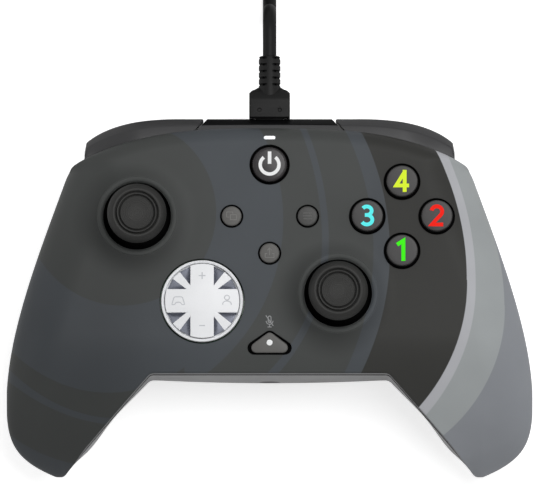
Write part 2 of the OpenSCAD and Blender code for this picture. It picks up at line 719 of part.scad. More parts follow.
// Buttons that travel straight down; a flange keeps each one under the face
module round_button(p, r, rise) {
    at(p, button_low) cylinder(r = r + flange_w, h = flange_t);
    at(p, button_low) rotate_extrude() polygon(concat(
        [[0, 0], [r, 0], [r, flange_t + clear + wall + rise - 0.7]],
        corner([r, flange_t + clear + wall + rise - 0.7], [r, flange_t + clear + wall + rise],
            [r - 0.9, flange_t + clear + wall + rise], 3),
        [[0, flange_t + clear + wall + rise + 0.25]]));
}
small_rise = 0.9;
module action_button(i) color([0.25, 0.25, 0.26])
    round_button(action + action_pitch * action_dirs[i], action_r, action_rise);
module top_button() action_button(0);
module left_button() action_button(1);
module right_button() action_button(2);
module bottom_button() action_button(3);
module home_button() color([0.08, 0.08, 0.09]) round_button(home, home_r, small_rise);
module view_button() color([0.36, 0.36, 0.37]) round_button(view, small_r, small_rise);
module menu_button() color([0.26, 0.26, 0.27]) round_button(menu, small_r, small_rise);
module share_button() color([0.36, 0.36, 0.37]) round_button(share, small_r, small_rise);
module mute_button() color([0.3, 0.3, 0.31]) at(mute, button_low) {
    linear_extrude(flange_t + clear + wall + small_rise) polygon(mute_outline(0));
    linear_extrude(flange_t) polygon(mute_outline(flange_w));
}
small_travel = 0.6;
switch_half = 2.2;
module tact_switches() color("gray") for (p = [home, view, menu, share, mute]) at(p, top_board_z) {
    translate([-switch_half, -switch_half, 0]) cube([2 * switch_half, 2 * switch_half, 1.2]);
    cylinder(r = 1.1, h = button_low - small_travel - press_room - top_board_z);
}
pad_r = action_r + 0.8;
module action_membrane() color([0.75, 0.75, 0.75]) at(action, top_board_z) {
    for (d = action_dirs) translate(action_pitch * d) cylinder(r = pad_r, h = membrane_t);
    for (a = [0, 90]) rotate(a) translate([-action_pitch, -2.5, 0]) cube([2 * action_pitch, 5, membrane_t]);
}

// Direction pad: a ring with four arms and dished quarters, rocking on a ball
dpad_pivot_z = face_under - 0.7;
ball_r = 1.6;
dpad_base_low = dpad_pivot_z + 0.3;
dpad_base_t = 1.5;
dpad_ring_w = 1.4;
post_r = 2.4;
module dpad_plate() color("white") at(dpad) difference() {
    union() {
        translate([0, 0, dpad_base_low]) cylinder(r = dpad_r, h = dpad_base_t);
        translate([0, 0, dpad_base_low]) difference() {
            cylinder(r = dpad_r, h = face_z + dpad_rise - 0.4 - dpad_base_low);
            cylinder(r = dpad_r - dpad_ring_w, h = 3 * wall);
        }
        for (a = [0, 90]) rotate(a)
            translate([-dpad_r + dpad_ring_w / 2, -dpad_arm_w / 2, dpad_base_low])
            cube([2 * dpad_r - dpad_ring_w, dpad_arm_w, face_z + dpad_rise - dpad_base_low]);
        for (a = [45:90:315]) rotate(a) translate([0, 0, dpad_base_low + dpad_base_t - 0.2]) quarter_ridge();
    }
    translate([0, 0, dpad_pivot_z]) sphere(r = ball_r + 3 * fit);
}
// A low ridge along the diagonal of each quarter, with a facet falling to either side
ridge_h = 1.5;
module quarter_ridge() {
    long = dpad_r - dpad_ring_w / 2;
    side = dpad_arm_w / 2;
    polyhedron(
        [[side, -side, 0], [long, 0, 0], [side, side, 0], [side, 0, ridge_h], [long, 0, ridge_h + 0.2]],
        [[0, 1, 2], [3, 4, 1, 0], [2, 1, 4, 3], [3, 0, 2]]);
}
module dpad_pivot() color("gray") at(dpad, dpad_pivot_z) sphere(r = ball_r);
module dpad_post() color("gray") at(dpad) difference() {
    translate([0, 0, top_board_z]) cylinder(r = post_r, h = dpad_pivot_z - 0.5 - top_board_z);
    translate([0, 0, dpad_pivot_z]) sphere(r = ball_r + 3 * fit);
}
contact_r = 7.6;
module dpad_membrane() color([0.75, 0.75, 0.75]) at(dpad, top_board_z) difference() {
    union() {
        cylinder(r = contact_r, h = membrane_t / 2);
        for (a = [0:90:270]) rotate(a) translate([contact_r, 0, 0]) cylinder(r = 2.6, h = membrane_t);
    }
    translate([0, 0, -1]) cylinder(r = post_r + fit, h = 4);
}

// Sticks: a housing on the main board, a rocker that tips about X, a cross pin that tips
// about Y in it, and a shaft with its cap that clicks down on the cross pin
housing_half = 7.5;
housing_wall = 1.6;
housing_rise = 4;
rocker_half = 5.2;
rocker_h = 4;
rocker_hole = 3.5;
rocker_pin_r = 1.5;
cross_pin_r = 1;
stub_r = 1.6;
stub_top = 12;
shaft_r = 2.4;
shaft_low = 3;
shaft_top = 16;
click_room = 0.6;
module stick_housing(p) color([0.2, 0.2, 0.22]) difference() {
    inner = housing_half - housing_wall;
    at(p, main_board_z) translate([-housing_half, -housing_half, 0])
        cube([2 * housing_half, 2 * housing_half, pivot_z + housing_rise - main_board_z]);
    at(p, pivot_z - rocker_half - 2 * clear) translate([-inner, -inner, 0])
        cube([2 * inner, 2 * inner, face_z]);
    along_x([p[0], p[1], pivot_z], rocker_pin_r + fit, 3 * housing_half);
}
module stick_rocker(p) color("silver") difference() {
    union() {
        translate([p[0] - rocker_half, p[1] - rocker_half, pivot_z - rocker_h / 2])
            cube([2 * rocker_half, 2 * rocker_half, rocker_h]);
        along_x([p[0], p[1], pivot_z], rocker_pin_r, 2 * housing_half);
    }
    translate([p[0] - rocker_hole, p[1] - rocker_hole, 0]) cube([2 * rocker_hole, 2 * rocker_hole, face_z]);
    along_y([p[0], p[1] - housing_half, pivot_z], cross_pin_r + fit, 2 * housing_half);
}
module stick_cross(p) color("silver") {
    along_y([p[0], p[1] - rocker_half, pivot_z], cross_pin_r, 2 * rocker_half);
    translate([p[0] - 1.8, p[1] - 2.6, pivot_z - 1.8]) cube([3.6, 5.2, 3.6]);
    at(p, pivot_z) cylinder(r = stub_r, h = stub_top);
}
module stick_shaft(p) color([0.3, 0.3, 0.32]) at(p, pivot_z) difference() {
    translate([0, 0, shaft_low]) cylinder(r = shaft_r, h = shaft_top - shaft_low);
    cylinder(r = stub_r + fit, h = stub_top + click_room);
}
dome_t = 1;
dome_edge = 66;
neck_r = 3.1;
rim_low = 19.4;
dish_depth = 1.1;
function arc(r, from, to, n) = [for (i = [0:n]) let (a = mix(from, to, i / n)) r * [sin(a), cos(a)]];
module stick_cap(p) color([0.07, 0.07, 0.07]) at(p, pivot_z) rotate_extrude() {
    top = pivot_depth + stick_rise;
    neck_in = asin(neck_r / stick_dome_r);
    bore = asin((shaft_r + fit) / (stick_dome_r - dome_t));
    polygon(concat(
        arc(stick_dome_r - dome_t, bore, dome_edge, 8),
        arc(stick_dome_r, dome_edge, neck_in, 8),
        corner([neck_r, rim_low - 3], [neck_r, rim_low], [neck_r + 2.5, rim_low], 3),
        [[thumb_r - 0.6, rim_low + 0.9], [thumb_r, rim_low + 1.6], [thumb_r, top - 0.9]],
        corner([thumb_r, top - 0.9], [thumb_r, top], [thumb_r - 1, top], 2),
        [[0.7 * thumb_r, top - 0.2], [0.66 * thumb_r, top - dish_depth], [0, top - dish_depth - 0.4],
            [0, shaft_top + fit], [shaft_r + fit, shaft_top + fit]]));
}
module left_stick_housing() stick_housing(left_stick);
module left_stick_rocker() stick_rocker(left_stick);
module left_stick_cross() stick_cross(left_stick);
module left_stick_shaft() stick_shaft(left_stick);
module left_stick_cap() stick_cap(left_stick);
module right_stick_housing() stick_housing(right_stick);
module right_stick_rocker() stick_rocker(right_stick);
module right_stick_cross() stick_cross(right_stick);
module right_stick_shaft() stick_shaft(right_stick);
module right_stick_cap() stick_cap(right_stick);

// Rumble motors lie in the grips, each with an off-centre weight on its shaft
motor_shaft_r = 0.8;
weight_r = 7;
weight_t = 5;
weight_gap = 1.5;
weight_y = motor_y + motor_len + weight_gap;
module right_motor() color("silver") difference() {
    union() {
        along_y([motor_x, motor_y, motor_z], motor_r, motor_len);
        along_y([motor_x, motor_y, motor_z], 2.4, motor_len + 0.8);
    }
    along_y([motor_x, weight_y - 8, motor_z], motor_shaft_r + fit, 9);
}
module left_motor() mirror([1, 0, 0]) right_motor();
module right_weight() color("goldenrod") {
    along_y([motor_x, weight_y - 6, motor_z], motor_shaft_r, 6 + weight_t);
    difference() {
        along_y([motor_x, weight_y, motor_z], weight_r, weight_t);
        translate([motor_x - weight_r - 1, weight_y - 1, motor_z + 1.6])
            cube([2 * weight_r + 2, weight_t + 2, weight_r]);
    }
}
module left_weight() mirror([1, 0, 0]) right_weight();

// Plug of the lead in the back of the pad, with its slotted strain relief
plug_h = 8;
tongue_w = 6.8;
tongue_h = 1.8;
tongue_len = 5;
plug_chamfer = 2;
plug_y = bumper_back + 0.1;
relief_y = plug_y + plug_len;
relief_len = 10;
relief_slots = 4;
slot_t = 0.9;
slot_web = 1.6;
module cord_plug() color([0.06, 0.06, 0.06]) {
    half = plug_w / 2;
    translate([0, 0, plug_z - plug_h / 2]) linear_extrude(plug_h) polygon([
        [-half, plug_y], [half, plug_y], [half, relief_y - plug_chamfer], [half - plug_chamfer, relief_y],
        [plug_chamfer - half, relief_y], [-half, relief_y - plug_chamfer]]);
    translate([-tongue_w / 2 - 0.6, face_back - bumper_deep, plug_z - tongue_h / 2 - 0.6])
        cube([tongue_w + 1.2, plug_y + 1 - face_back + bumper_deep, tongue_h + 1.2]);
    translate([-tongue_w / 2, face_back - bumper_deep - tongue_len, plug_z - tongue_h / 2])
        cube([tongue_w, tongue_len + 1, tongue_h]);
}
module strain_relief() color([0.06, 0.06, 0.06]) difference() {
    along_y([0, relief_y, plug_z], relief_d / 2, relief_len);
    for (i = [0:relief_slots - 1]) for (s = [-1, 1])
        translate([s * (slot_web + relief_d) / 2,
            relief_y + relief_len * (i + 0.6) / relief_slots, plug_z])
            cube([relief_d, slot_t, 2 * relief_d], center = true);
}

// The lead bends down to the table and runs into a tied coil; routes chosen by hand
lead_route = [[0, 71, 36.4], [0, 77, 36.4], [0, 80.2, 35.8], [0, 83, 33.9], [0, 84.8, 31.2], [0, 85.5, 28],
    [0, 85.5, 20], [0, 85.5, 12.2], [0, 86.3, 8.4], [0, 88.4, 5.1], [0, 91.7, 3], [0, 95.5, 2.2],
    [0, 107, 2.2], [0, 118, 2.5], [0, 123, 2.9], [0, 127, 2.9]];
tail_route = [[0, 135, 16.25], [0, 138, 16.25], [0.8, 143, 15.3], [3.2, 148, 12.8], [7.2, 152.6, 9.6],
    [12.4, 156, 6.6], [17.5, 157.7, 4.8], [21.5, 158, 4.2], [25, 158, 4.2]];
module cord_lead() color([0.07, 0.07, 0.07]) tube(lead_route, cord_d / 2, 8, [1, 0, 0]);
module cord_tail() color([0.07, 0.07, 0.07]) tube(tail_route, cord_d / 2, 8, [0, 0, 1]);

// Coil of four layers that spiral in and out, each climbing where the spiral turns round
coil_layers = 4;
loop_rings = 24;
coil_mid_r = 22.5;
coil_y = 131;
coil_z = 2.9;
coil_out_r = coil_mid_r + coil_turns * coil_step / 2;
coil_in_r = coil_mid_r - coil_turns * coil_step / 2;
coil_top = coil_z + (coil_layers - 1) * coil_step;
function coil_radius(t) =
    let (layer = floor(t / coil_turns), f = t / coil_turns - layer)
    layer % 2 == 0 ? mix(coil_out_r, coil_in_r, f) : mix(coil_in_r, coil_out_r, f);
function coil_climb(t, k) = smooth((t - coil_turns * k + 0.25) / 0.5);
function coil_height(t) =
    coil_z + coil_step * (coil_climb(t, 1) + coil_climb(t, 2) + coil_climb(t, 3));
function coil_point(t) =
    [coil_radius(t) * cos(360 * t) - coil_out_r, coil_y + coil_radius(t) * sin(360 * t), coil_height(t)];
coil_rings = coil_layers * coil_turns * loop_rings;
function coil_path() = concat(
    [[0, coil_y - cord_d, coil_z]],
    [for (i = [0:coil_rings]) coil_point(i / loop_rings)],
    [[0, coil_y + cord_d, coil_top]]);
function least_gap(path) =
    min([for (i = [0:len(path) - 1]) for (j = [i + loop_rings / 2:len(path) - 1])
        norm(path[i] - path[j])]) - cord_d;
function path_length(path) =
    [for (i = [1:len(path) - 1]) norm(path[i] - path[i - 1])] * [for (i = [2:len(path)]) 1];
module cord_coil() color([0.07, 0.07, 0.07]) {
    path = coil_path();
    echo(coil_gap = least_gap(path));
    echo(cord_length = path_length(path) + path_length(lead_route) + path_length(tail_route));
    tube(path, cord_d / 2, 6, [0, 0, 1]);
}
tie_t = 0.6;
tie_w = 10;
tie_in_r = sqrt(pow(coil_in_r - cord_d / 2, 2) - pow(tie_w / 2, 2)) - clear;
tie_out_r = coil_out_r + cord_d / 2 + clear;
module cable_tie() color([0.12, 0.12, 0.12]) translate([-coil_out_r, coil_y - tie_w / 2, 0]) difference() {
    translate([-tie_out_r - tie_t, 0, coil_z - cord_d / 2 - clear - tie_t])
        cube([tie_out_r - tie_in_r + 2 * tie_t, tie_w, coil_top - coil_z + cord_d + 2 * (clear + tie_t)]);
    translate([-tie_out_r, -1, coil_z - cord_d / 2 - clear])
        cube([tie_out_r - tie_in_r, tie_w + 2, coil_top - coil_z + cord_d + 2 * clear]);
}

// Plug on the far end, lying on the table beside the coil
far_y = 158;
far_z = 4.2;
far_x = 25;
far_relief_len = 6;
far_body = [22, 15, 8.4];
far_tip = [18.5, 12, 4.5];
module far_plug() color([0.08, 0.08, 0.08]) translate([far_x, far_y, far_z]) {
    translate([far_relief_len / 2, 0, 0]) along_x([0, 0, 0], 3, far_relief_len);
    translate([far_relief_len, 0, -far_body[2] / 2]) linear_extrude(far_body[2]) polygon([
        [0, -4], [3.5, -far_body[1] / 2], [far_body[0], -far_body[1] / 2],
        [far_body[0], far_body[1] / 2], [3.5, far_body[1] / 2], [0, 4]]);
    translate([far_relief_len + far_body[0] - 1, -far_tip[1] / 2, -far_tip[2] / 2]) difference() {
        cube([far_tip[0] + 1, far_tip[1], far_tip[2]]);
        translate([4, 0.4, 2]) cube([far_tip[0], far_tip[1] - 0.8, far_tip[2] - 2.4]);
    }
}

top_shell();
rear_shell();
top_bridge();
status_led();
button_board();
main_board();
board_spacers();
board_screws();
case_screws();
mid_frame();
action_membrane();
dpad_membrane();
dpad_post();
tact_switches();
usb_socket();
headset_jack();
left_stick_housing();
right_stick_housing();
left_motor();
right_motor();
trigger_pins();
bumper_pins();
left_trigger_spring();
right_trigger_spring();
left_bumper();
right_bumper();
left_trigger();
right_trigger();
left_stick_rocker();
left_stick_cross();
left_stick_shaft();
left_stick_cap();
right_stick_rocker();
right_stick_cross();
right_stick_shaft();
right_stick_cap();
dpad_pivot();
dpad_plate();
top_button();
left_button();
right_button();
bottom_button();
home_button();
view_button();
menu_button();
share_button();
mute_button();
left_weight();
right_weight();
cord_plug();
strain_relief();
cord_lead();
cord_coil();
cord_tail();
cable_tie();
far_plug();
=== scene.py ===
from math import acos, asin, atan2, cos, degrees, exp, hypot, pi, radians, sin, sqrt

import bmesh
import bpy
import numpy as np
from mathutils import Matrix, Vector


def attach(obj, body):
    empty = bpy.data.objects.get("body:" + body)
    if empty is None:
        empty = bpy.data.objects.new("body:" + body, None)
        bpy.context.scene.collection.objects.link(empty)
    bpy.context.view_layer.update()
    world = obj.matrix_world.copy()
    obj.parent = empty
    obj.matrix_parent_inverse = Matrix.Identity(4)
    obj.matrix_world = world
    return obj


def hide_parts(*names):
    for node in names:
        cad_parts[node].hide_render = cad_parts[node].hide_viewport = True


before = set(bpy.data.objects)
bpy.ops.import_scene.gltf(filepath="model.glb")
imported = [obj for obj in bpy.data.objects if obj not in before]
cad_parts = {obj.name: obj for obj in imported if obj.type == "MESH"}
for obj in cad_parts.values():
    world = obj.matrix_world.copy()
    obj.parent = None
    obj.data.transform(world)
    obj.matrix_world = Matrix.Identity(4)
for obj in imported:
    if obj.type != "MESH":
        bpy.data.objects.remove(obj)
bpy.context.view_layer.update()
MM = 0.001
scene = bpy.context.scene
scene.view_settings.view_transform = "Standard"


def placed(name, data):
    o = bpy.data.objects.new(name, data)
    scene.collection.objects.link(o)
    return o


# Camera: the photograph looks almost straight down through a long lens
ELEVATION, DISTANCE, SENSOR = radians(84.7), 4, 36
PICTURE_W = 540 * 0.2936 * MM          # the picture's width, measured on the object
AIM = Vector((0.12 * MM, 14.85 * MM, 46.5 * MM))
cam_data = bpy.data.cameras.new("camera")
cam_data.sensor_width = SENSOR
cam_data.lens = SENSOR * DISTANCE / PICTURE_W
cam_data.clip_end = 20
scene.camera = camera = placed("camera", cam_data)
back = Vector((0, -cos(ELEVATION), sin(ELEVATION)))
camera.location = AIM + DISTANCE * back
camera.rotation_euler = back.to_track_quat("Z", "Y").to_euler()

# Sizes shared with the solids, in millimetres
HALF_W = 77.5
FACE_BACK, FRONT_EDGE, FRONT_HALF_W = 48.2, 23.8, 35
GRIP_REACH, GRIP_DROOP, GRIP_START = 52.5, 22, -12
FACE_Z, BELLY_Z, WALL, SEAM = 46.5, 13, 2.2, 0.25
SIDE_ROUND, BACK_ROUND, FRONT_ROUND = 15, 5, 0.6
CROWN, TIP_SHARE = 0.25, 0.4
UNDER_SIDE, UNDER_BACK = 17, 9
STICKS = {"left": (-38.9, 22.75), "right": (20.1, 0)}
STICK_HOLE, COLLAR_W = 10, 1.8
DPAD, DPAD_R = (-19.8, -2.3), 12
ACTION, ACTION_PITCH, ACTION_R, ACTION_RISE = (38.9, 22.75), 10.2, 4.8, 2.2
HOME, HOME_R = (0, 38), 5.2
SMALL = {"view": (-11.15, 22.75), "menu": (11.15, 22.75), "share": (0, 11.85)}
SMALL_R, SMALL_RISE, BUTTON_GAP = 2.9, 0.9, 0.5
MUTE, MUTE_HALF_W, MUTE_H = (0, -14.6), 6, 5.8
LED, LED_W, LED_D = (0, 46), 3.4, 0.85 * 1.2
BUTTON_LOW, FLANGE_T, FLANGE_W, CLEAR = 42.5, 1.5, 1.1, 0.3
FLANGE_TOP = BUTTON_LOW + FLANGE_T
PIVOT_Z, PLUG_Z, JACK_Z = 34, 36.4, 28
BUMPER_BACK, BUMPER_END, BUMPER_H, BUMPER_SPLIT = 52.4, 54.5, 10.4, 18.6
SPLIT_GAP, END_DROP, PRESS_DEEP, SHOULDER_DEEP = 0.8, 2.3, 4.2, 8
BUMPER_TOP = 41.2
BUMPER_LOW = BUMPER_TOP - BUMPER_H
TRIGGER_X, TRIGGER_W, TRIGGER_LOW = 40.5, 22.5, 5
TRIGGER_TOP = BUMPER_LOW - 0.45
TRIGGER_Y, TRIGGER_Z = 34, 30.3
CORD_D = 4
CASE_POSTS = [(-52, -8), (52, -8), (-52, 6), (52, 6)]
CASE_HEAD_R, CASE_SEAT = 2.7, 20
SIDES = (("left", -1), ("right", 1))


# Materials: every colour, roughness and bump comes from nodes
def surface(name, rough, **sockets):
    """A new material, its object coordinates and its shader."""
    m = bpy.data.materials.new(name)
    m.use_nodes = True
    shader = m.node_tree.nodes["Principled BSDF"]
    put(shader, Roughness=rough, **sockets)
    return m, add(shader, "TexCoord").outputs["Object"], shader


def connect(socket, v):
    """Links an output to a socket, or sets the socket's own value."""
    if isinstance(v, bpy.types.NodeSocket):
        socket.id_data.links.new(v, socket)
    else:
        socket.default_value = v


def put(node, **values):
    """Connects a node's inputs by name."""
    for key, v in values.items():
        connect(node.inputs[key.replace("_", " ")], v)


def add(near, kind, **values):
    """A new node in the tree of another node or socket."""
    n = near.id_data.nodes.new("ShaderNode" + kind)
    for k, v in values.items():
        setattr(n, k, v)
    return n


def axes(vector):
    n = add(vector, "SeparateXYZ")
    connect(n.inputs[0], vector)
    return n.outputs


def maths(op, *values):
    n = add(values[0], "Math", operation=op)
    for socket, v in zip(n.inputs, values):
        connect(socket, v)
    return n.outputs[0]


def times(*factors):
    out = factors[0]
    for v in factors[1:]:
        out = maths("MULTIPLY", out, v)
    return out


def noise(vector, scale, detail=2, rough=0.5):
    n = add(vector, "TexNoise")
    put(n, Scale=scale, Detail=detail, Roughness=rough, Vector=vector)
    return n.outputs["Fac"]


def ramp(fac, low, high, out_low, out_high):
    n = add(fac, "MapRange")
    put(n, Value=fac, From_Min=low, From_Max=high, To_Min=out_low, To_Max=out_high)
    return n.outputs[0]


def mix(fac, a, b):
    n = add(fac, "Mix", data_type="RGBA")
    for i, v in ((0, fac), (6, a), (7, b)):
        connect(n.inputs[i], (*v, 1) if isinstance(v, tuple) else v)
    return n.outputs[2]


def bump(shader, height, strength, distance):
    n = add(shader, "Bump")
    put(n, Strength=strength, Distance=distance, Height=height)
    put(shader, Normal=n.outputs[0])


def srgb(*rgb):
    return tuple((v / 255 / 12.92) if v < 10.3 else ((v / 255 + 0.055) / 1.055) ** 2.4 for v in rgb)


def moulded(name, color, rough, grain=0.12, size=4200, shade=0.06, shine=0.2):
    """Moulded plastic or rubber: fine spark-eroded grain, with slight changes of tone and gloss."""
    m, at, s = surface(name, rough, Specular_IOR_Level=shine)
    fine = noise(at, size, 3, 0.6)
    dark, light = (tuple(min(1, v * tone) for v in srgb(*color)) for tone in (1 - shade, 1 + shade))
    put(s, Base_Color=mix(ramp(noise(at, 90), 0.3, 0.7, 0, 1), dark, light),
        Roughness=ramp(fine, 0.3, 0.7, rough - 0.06, rough + 0.06))
    bump(s, fine, grain, 0.00006)
    return m


def printed(name, color, rough=0.35):
    return moulded(name, color, rough, 0.03, 3000, 0.02, 0.05)


def metal(name, color, rough, stretch=(1, 1, 1), scale=900):
    """Bare metal with drawn or ground marks along one direction."""
    m, at, s = surface(name, rough, Metallic=1)
    mapping = add(at, "Mapping")
    put(mapping, Scale=stretch, Vector=at)
    marks = noise(mapping.outputs[0], scale, 4, 0.6)
    light = srgb(*color)
    put(s, Base_Color=mix(marks, tuple(v * 0.8 for v in light), light),
        Roughness=ramp(marks, 0.3, 0.7, rough - 0.08, rough + 0.1))
    bump(s, marks, 0.15, 0.00004)
    return m


# Shapes as pairs of points and faces, in millimetres
def rect(x0, y0, x1, y1):
    return [(x0, y0), (x1, y0), (x1, y1), (x0, y1)]


def bow_path(cx, cy, r, start, end, n=20, rx=None):
    """An arc from one angle to another, in degrees."""
    angles = [radians(start + (end - start) * k / n) for k in range(n + 1)]
    return [(cx + (rx or r) * cos(a), cy + r * sin(a)) for a in angles]


def bezier(a, b, c, d, n):
    t = np.linspace(0, 1, n + 1)[:, None]
    a, b, c, d = (np.array(v, float) for v in (a, b, c, d))
    return (1 - t) ** 3 * a + 3 * (1 - t) ** 2 * t * b + 3 * (1 - t) * t * t * c + t ** 3 * d


def corner(a, c, b, n):
    a, c, b = (np.array(v, float) for v in (a, c, b))
    return bezier(a, a + (c - a) * 2 / 3, b + (c - b) * 2 / 3, b, n)


def smooth(t):
    u = np.clip(t, 0, 1)
    return u * u * (3 - 2 * u)


def lathe(profile, centre, sides=96, axis="z"):
    """A profile of (radius, height) turned about an axis; ends at radius 0 are poles."""
    points, rings, faces = [], [], []
    for r, h in profile:
        ring = [(u, v, h) for u, v in bow_path(0, 0, r, 0, 360, sides)[:sides if r else 1]]
        closing = rings and (r, h) == tuple(profile[0])
        rings.append(rings[0] if closing else range(len(points), len(points) + len(ring)))
        points += list(np.roll(ring, "zxy".index(axis), 1) + (*centre, 0)[:3])
    for a, b in zip(rings, rings[1:]):
        for k in range(sides):
            n = (k + 1) % sides
            quad = [a[i % len(a)] for i in (k, n)] + [b[i % len(b)] for i in (n, k)]
            faces.append(tuple(dict.fromkeys(quad)))
    return points, faces


def closed(profile):
    """The same profile closed on itself, for a ring."""
    return list(profile) + [profile[0]]


def rounded(points, radius, steps=4):
    """A closed outline with its corners rounded, each by at most a third of its sides."""
    out = []
    n = len(points)
    for i in range(n):
        a, c, b = (np.array(points[(i + d) % n], float) for d in (-1, 0, 1))
        la, lb = np.linalg.norm(a - c), np.linalg.norm(b - c)
        r = min(radius, la / 3, lb / 3)
        p, q = c + (a - c) / la * r, c + (b - c) / lb * r
        for t in np.arange(steps + 1) / steps:
            out.append(tuple((1 - t) ** 2 * p + 2 * t * (1 - t) * c + t * t * q))
    return out


def loft(sections, ring=False):
    """A closed solid through sections with as many points each; in a ring the last meets the first."""
    n, last = len(sections[0]), len(sections) - 1
    faces = []
    for i in range(last + ring):
        a, b = i * n, (i + 1) % len(sections) * n
        faces += [(a + k, a + (k + 1) % n, b + (k + 1) % n, b + k) for k in range(n)]
    if not ring:
        faces += [tuple(range(n))[::-1], tuple(last * n + k for k in range(n))]
    return [p for section in sections for p in section], faces


def unit(v):
    return v / (np.linalg.norm(v, axis=1)[:, None] + 1e-12)


def prism(outline, low, high, bevel=0, steps=3):
    """An outline raised from low to high, with a rounded top edge."""
    pts = np.array(outline, float)
    nxt = np.roll(pts, -1, 0)
    along = unit(pts - np.roll(pts, 1, 0)) + unit(nxt - pts)
    inward = unit(along[:, ::-1] * (-1, 1))
    left_turning = np.sum(pts[:, 0] * nxt[:, 1] - nxt[:, 0] * pts[:, 1]) > 0
    levels = [(0, low), (0, high - bevel)]
    for k in range(1, steps + 1 if bevel else 1):
        a = pi / 2 * k / steps
        levels.append((bevel * (1 - cos(a)), high - bevel + bevel * sin(a)))
    if not left_turning:
        inward = -inward
    points, faces = loft([[(*p, z) for p in pts + w * inward] for w, z in levels])
    return points, faces if left_turning else [f[::-1] for f in faces]


def grid_faces(rows, cols):
    """Faces of a closed slab: a grid of points, and as many again on its other side."""
    at = np.arange(rows * cols).reshape(rows, cols)
    quads = np.stack([at[:-1, :-1], at[1:, :-1], at[1:, 1:], at[:-1, 1:]], 2).reshape(-1, 4)
    loop = np.concatenate([at[0, :-1], at[:-1, -1], at[-1, :0:-1], at[:0:-1, 0]])
    ahead = np.roll(loop, -1)
    rim = np.stack([loop, ahead, ahead + at.size, loop + at.size], 1)
    return np.concatenate([quads, quads[:, ::-1] + at.size, rim]).tolist()


def joined(*parts):
    """Several shapes as one."""
    points, faces = [], []
    for p, f in parts:
        faces += [tuple(i + len(points) for i in face) for face in f]
        points += p
    return points, faces


# Pieces
def solid(name, shape, material=None):
    mesh = bpy.data.meshes.new(name)
    mesh.from_pydata([tuple(float(v) * MM for v in p) for p in shape[0]], [], shape[1])
    mesh.validate()
    if material:
        mesh.materials.append(material)
    return placed(name, mesh)


def cut(target, *cutters):
    """Cuts closed shapes out of a closed mesh and applies the result."""
    tool = solid("cutter", joined(*cutters))
    mod = target.modifiers.new("cut", "BOOLEAN")
    mod.operation, mod.solver, mod.object = "DIFFERENCE", "MANIFOLD", tool
    depsgraph = bpy.context.evaluated_depsgraph_get()
    mesh = bpy.data.meshes.new_from_object(target.evaluated_get(depsgraph))
    old = target.data
    target.modifiers.clear()
    target.data = mesh
    bpy.data.meshes.remove(old)
    bpy.data.objects.remove(tool)


def piece(o, angle, body, slot, *nodes):
    """Shades an object, with its edges sharp from an angle, and sets it to ride on a body."""
    if angle:
        o.data.shade_smooth()
        o.data.set_sharp_from_angle(angle=radians(angle))
    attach(o, body)
    if nodes:
        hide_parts(*nodes)
    return o


def make(name, shape, material, angle, body, slot, *nodes):
    return piece(solid(name, shape, material), angle, body, slot, *nodes)


# The lead: down from its strain relief to the table and into a tied coil, on the solids' own route
LEAD_ROUTE = [(0, y, z) for y, z in (
    (71, 36.4), (77, 36.4), (80.2, 35.8), (83, 33.9), (84.8, 31.2), (85.5, 28), (85.5, 20), (85.5, 12.2), (86.3, 8.4),
    (88.4, 5.1), (91.7, 3), (95.5, 2.2), (107, 2.2), (118, 2.5), (123, 2.9), (127, 2.9))]
TAIL_ROUTE = [
    (0, 135, 16.25), (0, 138, 16.25), (0.8, 143, 15.3), (3.2, 148, 12.8), (7.2, 152.6, 9.6), (12.4, 156, 6.6),
    (17.5, 157.7, 4.8), (21.5, 158, 4.2), (25, 158, 4.2)]
COIL_TURNS, COIL_LAYERS, COIL_STEP, COIL_MID_R = 4, 4, 4.45, 22.5
COIL_Y, COIL_Z, LOOP_POINTS = 131, 2.9, 40
COIL_OUT = COIL_MID_R + COIL_TURNS * COIL_STEP / 2
COIL_IN = COIL_MID_R - COIL_TURNS * COIL_STEP / 2


def through(points, steps=6):
    """A smooth line through points."""
    p = [np.array(q, float) for q in points]
    p = [2 * p[0] - p[1]] + p + [2 * p[-1] - p[-2]]
    out = []
    for i in range(1, len(p) - 2):
        a, b, c, d = p[i - 1:i + 3]
        for k in range(steps):
            t = k / steps
            out.append(0.5 * (2 * b + (c - a) * t + (2 * a - 5 * b + 4 * c - d) * t * t
                              + (3 * b - a - 3 * c + d) * t ** 3))
    return out + [p[-2]]


def coil_point(t):
    layer = min(int(t / COIL_TURNS), COIL_LAYERS - 1)
    f = t / COIL_TURNS - layer
    r = COIL_OUT + (COIL_IN - COIL_OUT) * (f if layer % 2 == 0 else 1 - f)
    z = COIL_Z + COIL_STEP * sum(smooth((t - COIL_TURNS * k + 0.25) / 0.5) for k in (1, 2, 3))
    a = 2 * pi * t
    return np.array([r * cos(a) - COIL_OUT, COIL_Y + r * sin(a), z])


cord_path = through(LEAD_ROUTE)
cord_path += [coil_point(i / LOOP_POINTS) for i in range(COIL_TURNS * COIL_LAYERS * LOOP_POINTS + 1)]
cord_path += through(TAIL_ROUTE)
cord_path = [p * MM for p in cord_path]
JACKET = moulded("cord_jacket_black", (5, 5, 6), 0.52, grain=0.3, size=2600, shine=0.15)
curve = bpy.data.curves.new("lead", "CURVE")
curve.dimensions = "3D"
curve.bevel_depth = CORD_D / 2 * MM
curve.bevel_resolution = 4
curve.use_fill_caps = True
spline = curve.splines.new("POLY")
spline.points.add(len(cord_path) - 1)
for p, q in zip(spline.points, cord_path):
    p.co = (*q, 1)
curve.materials.append(JACKET)
lead = placed("lead", curve)
piece(lead, None, "case", "cord_jacket", "cord_lead", "cord_coil", "cord_tail")

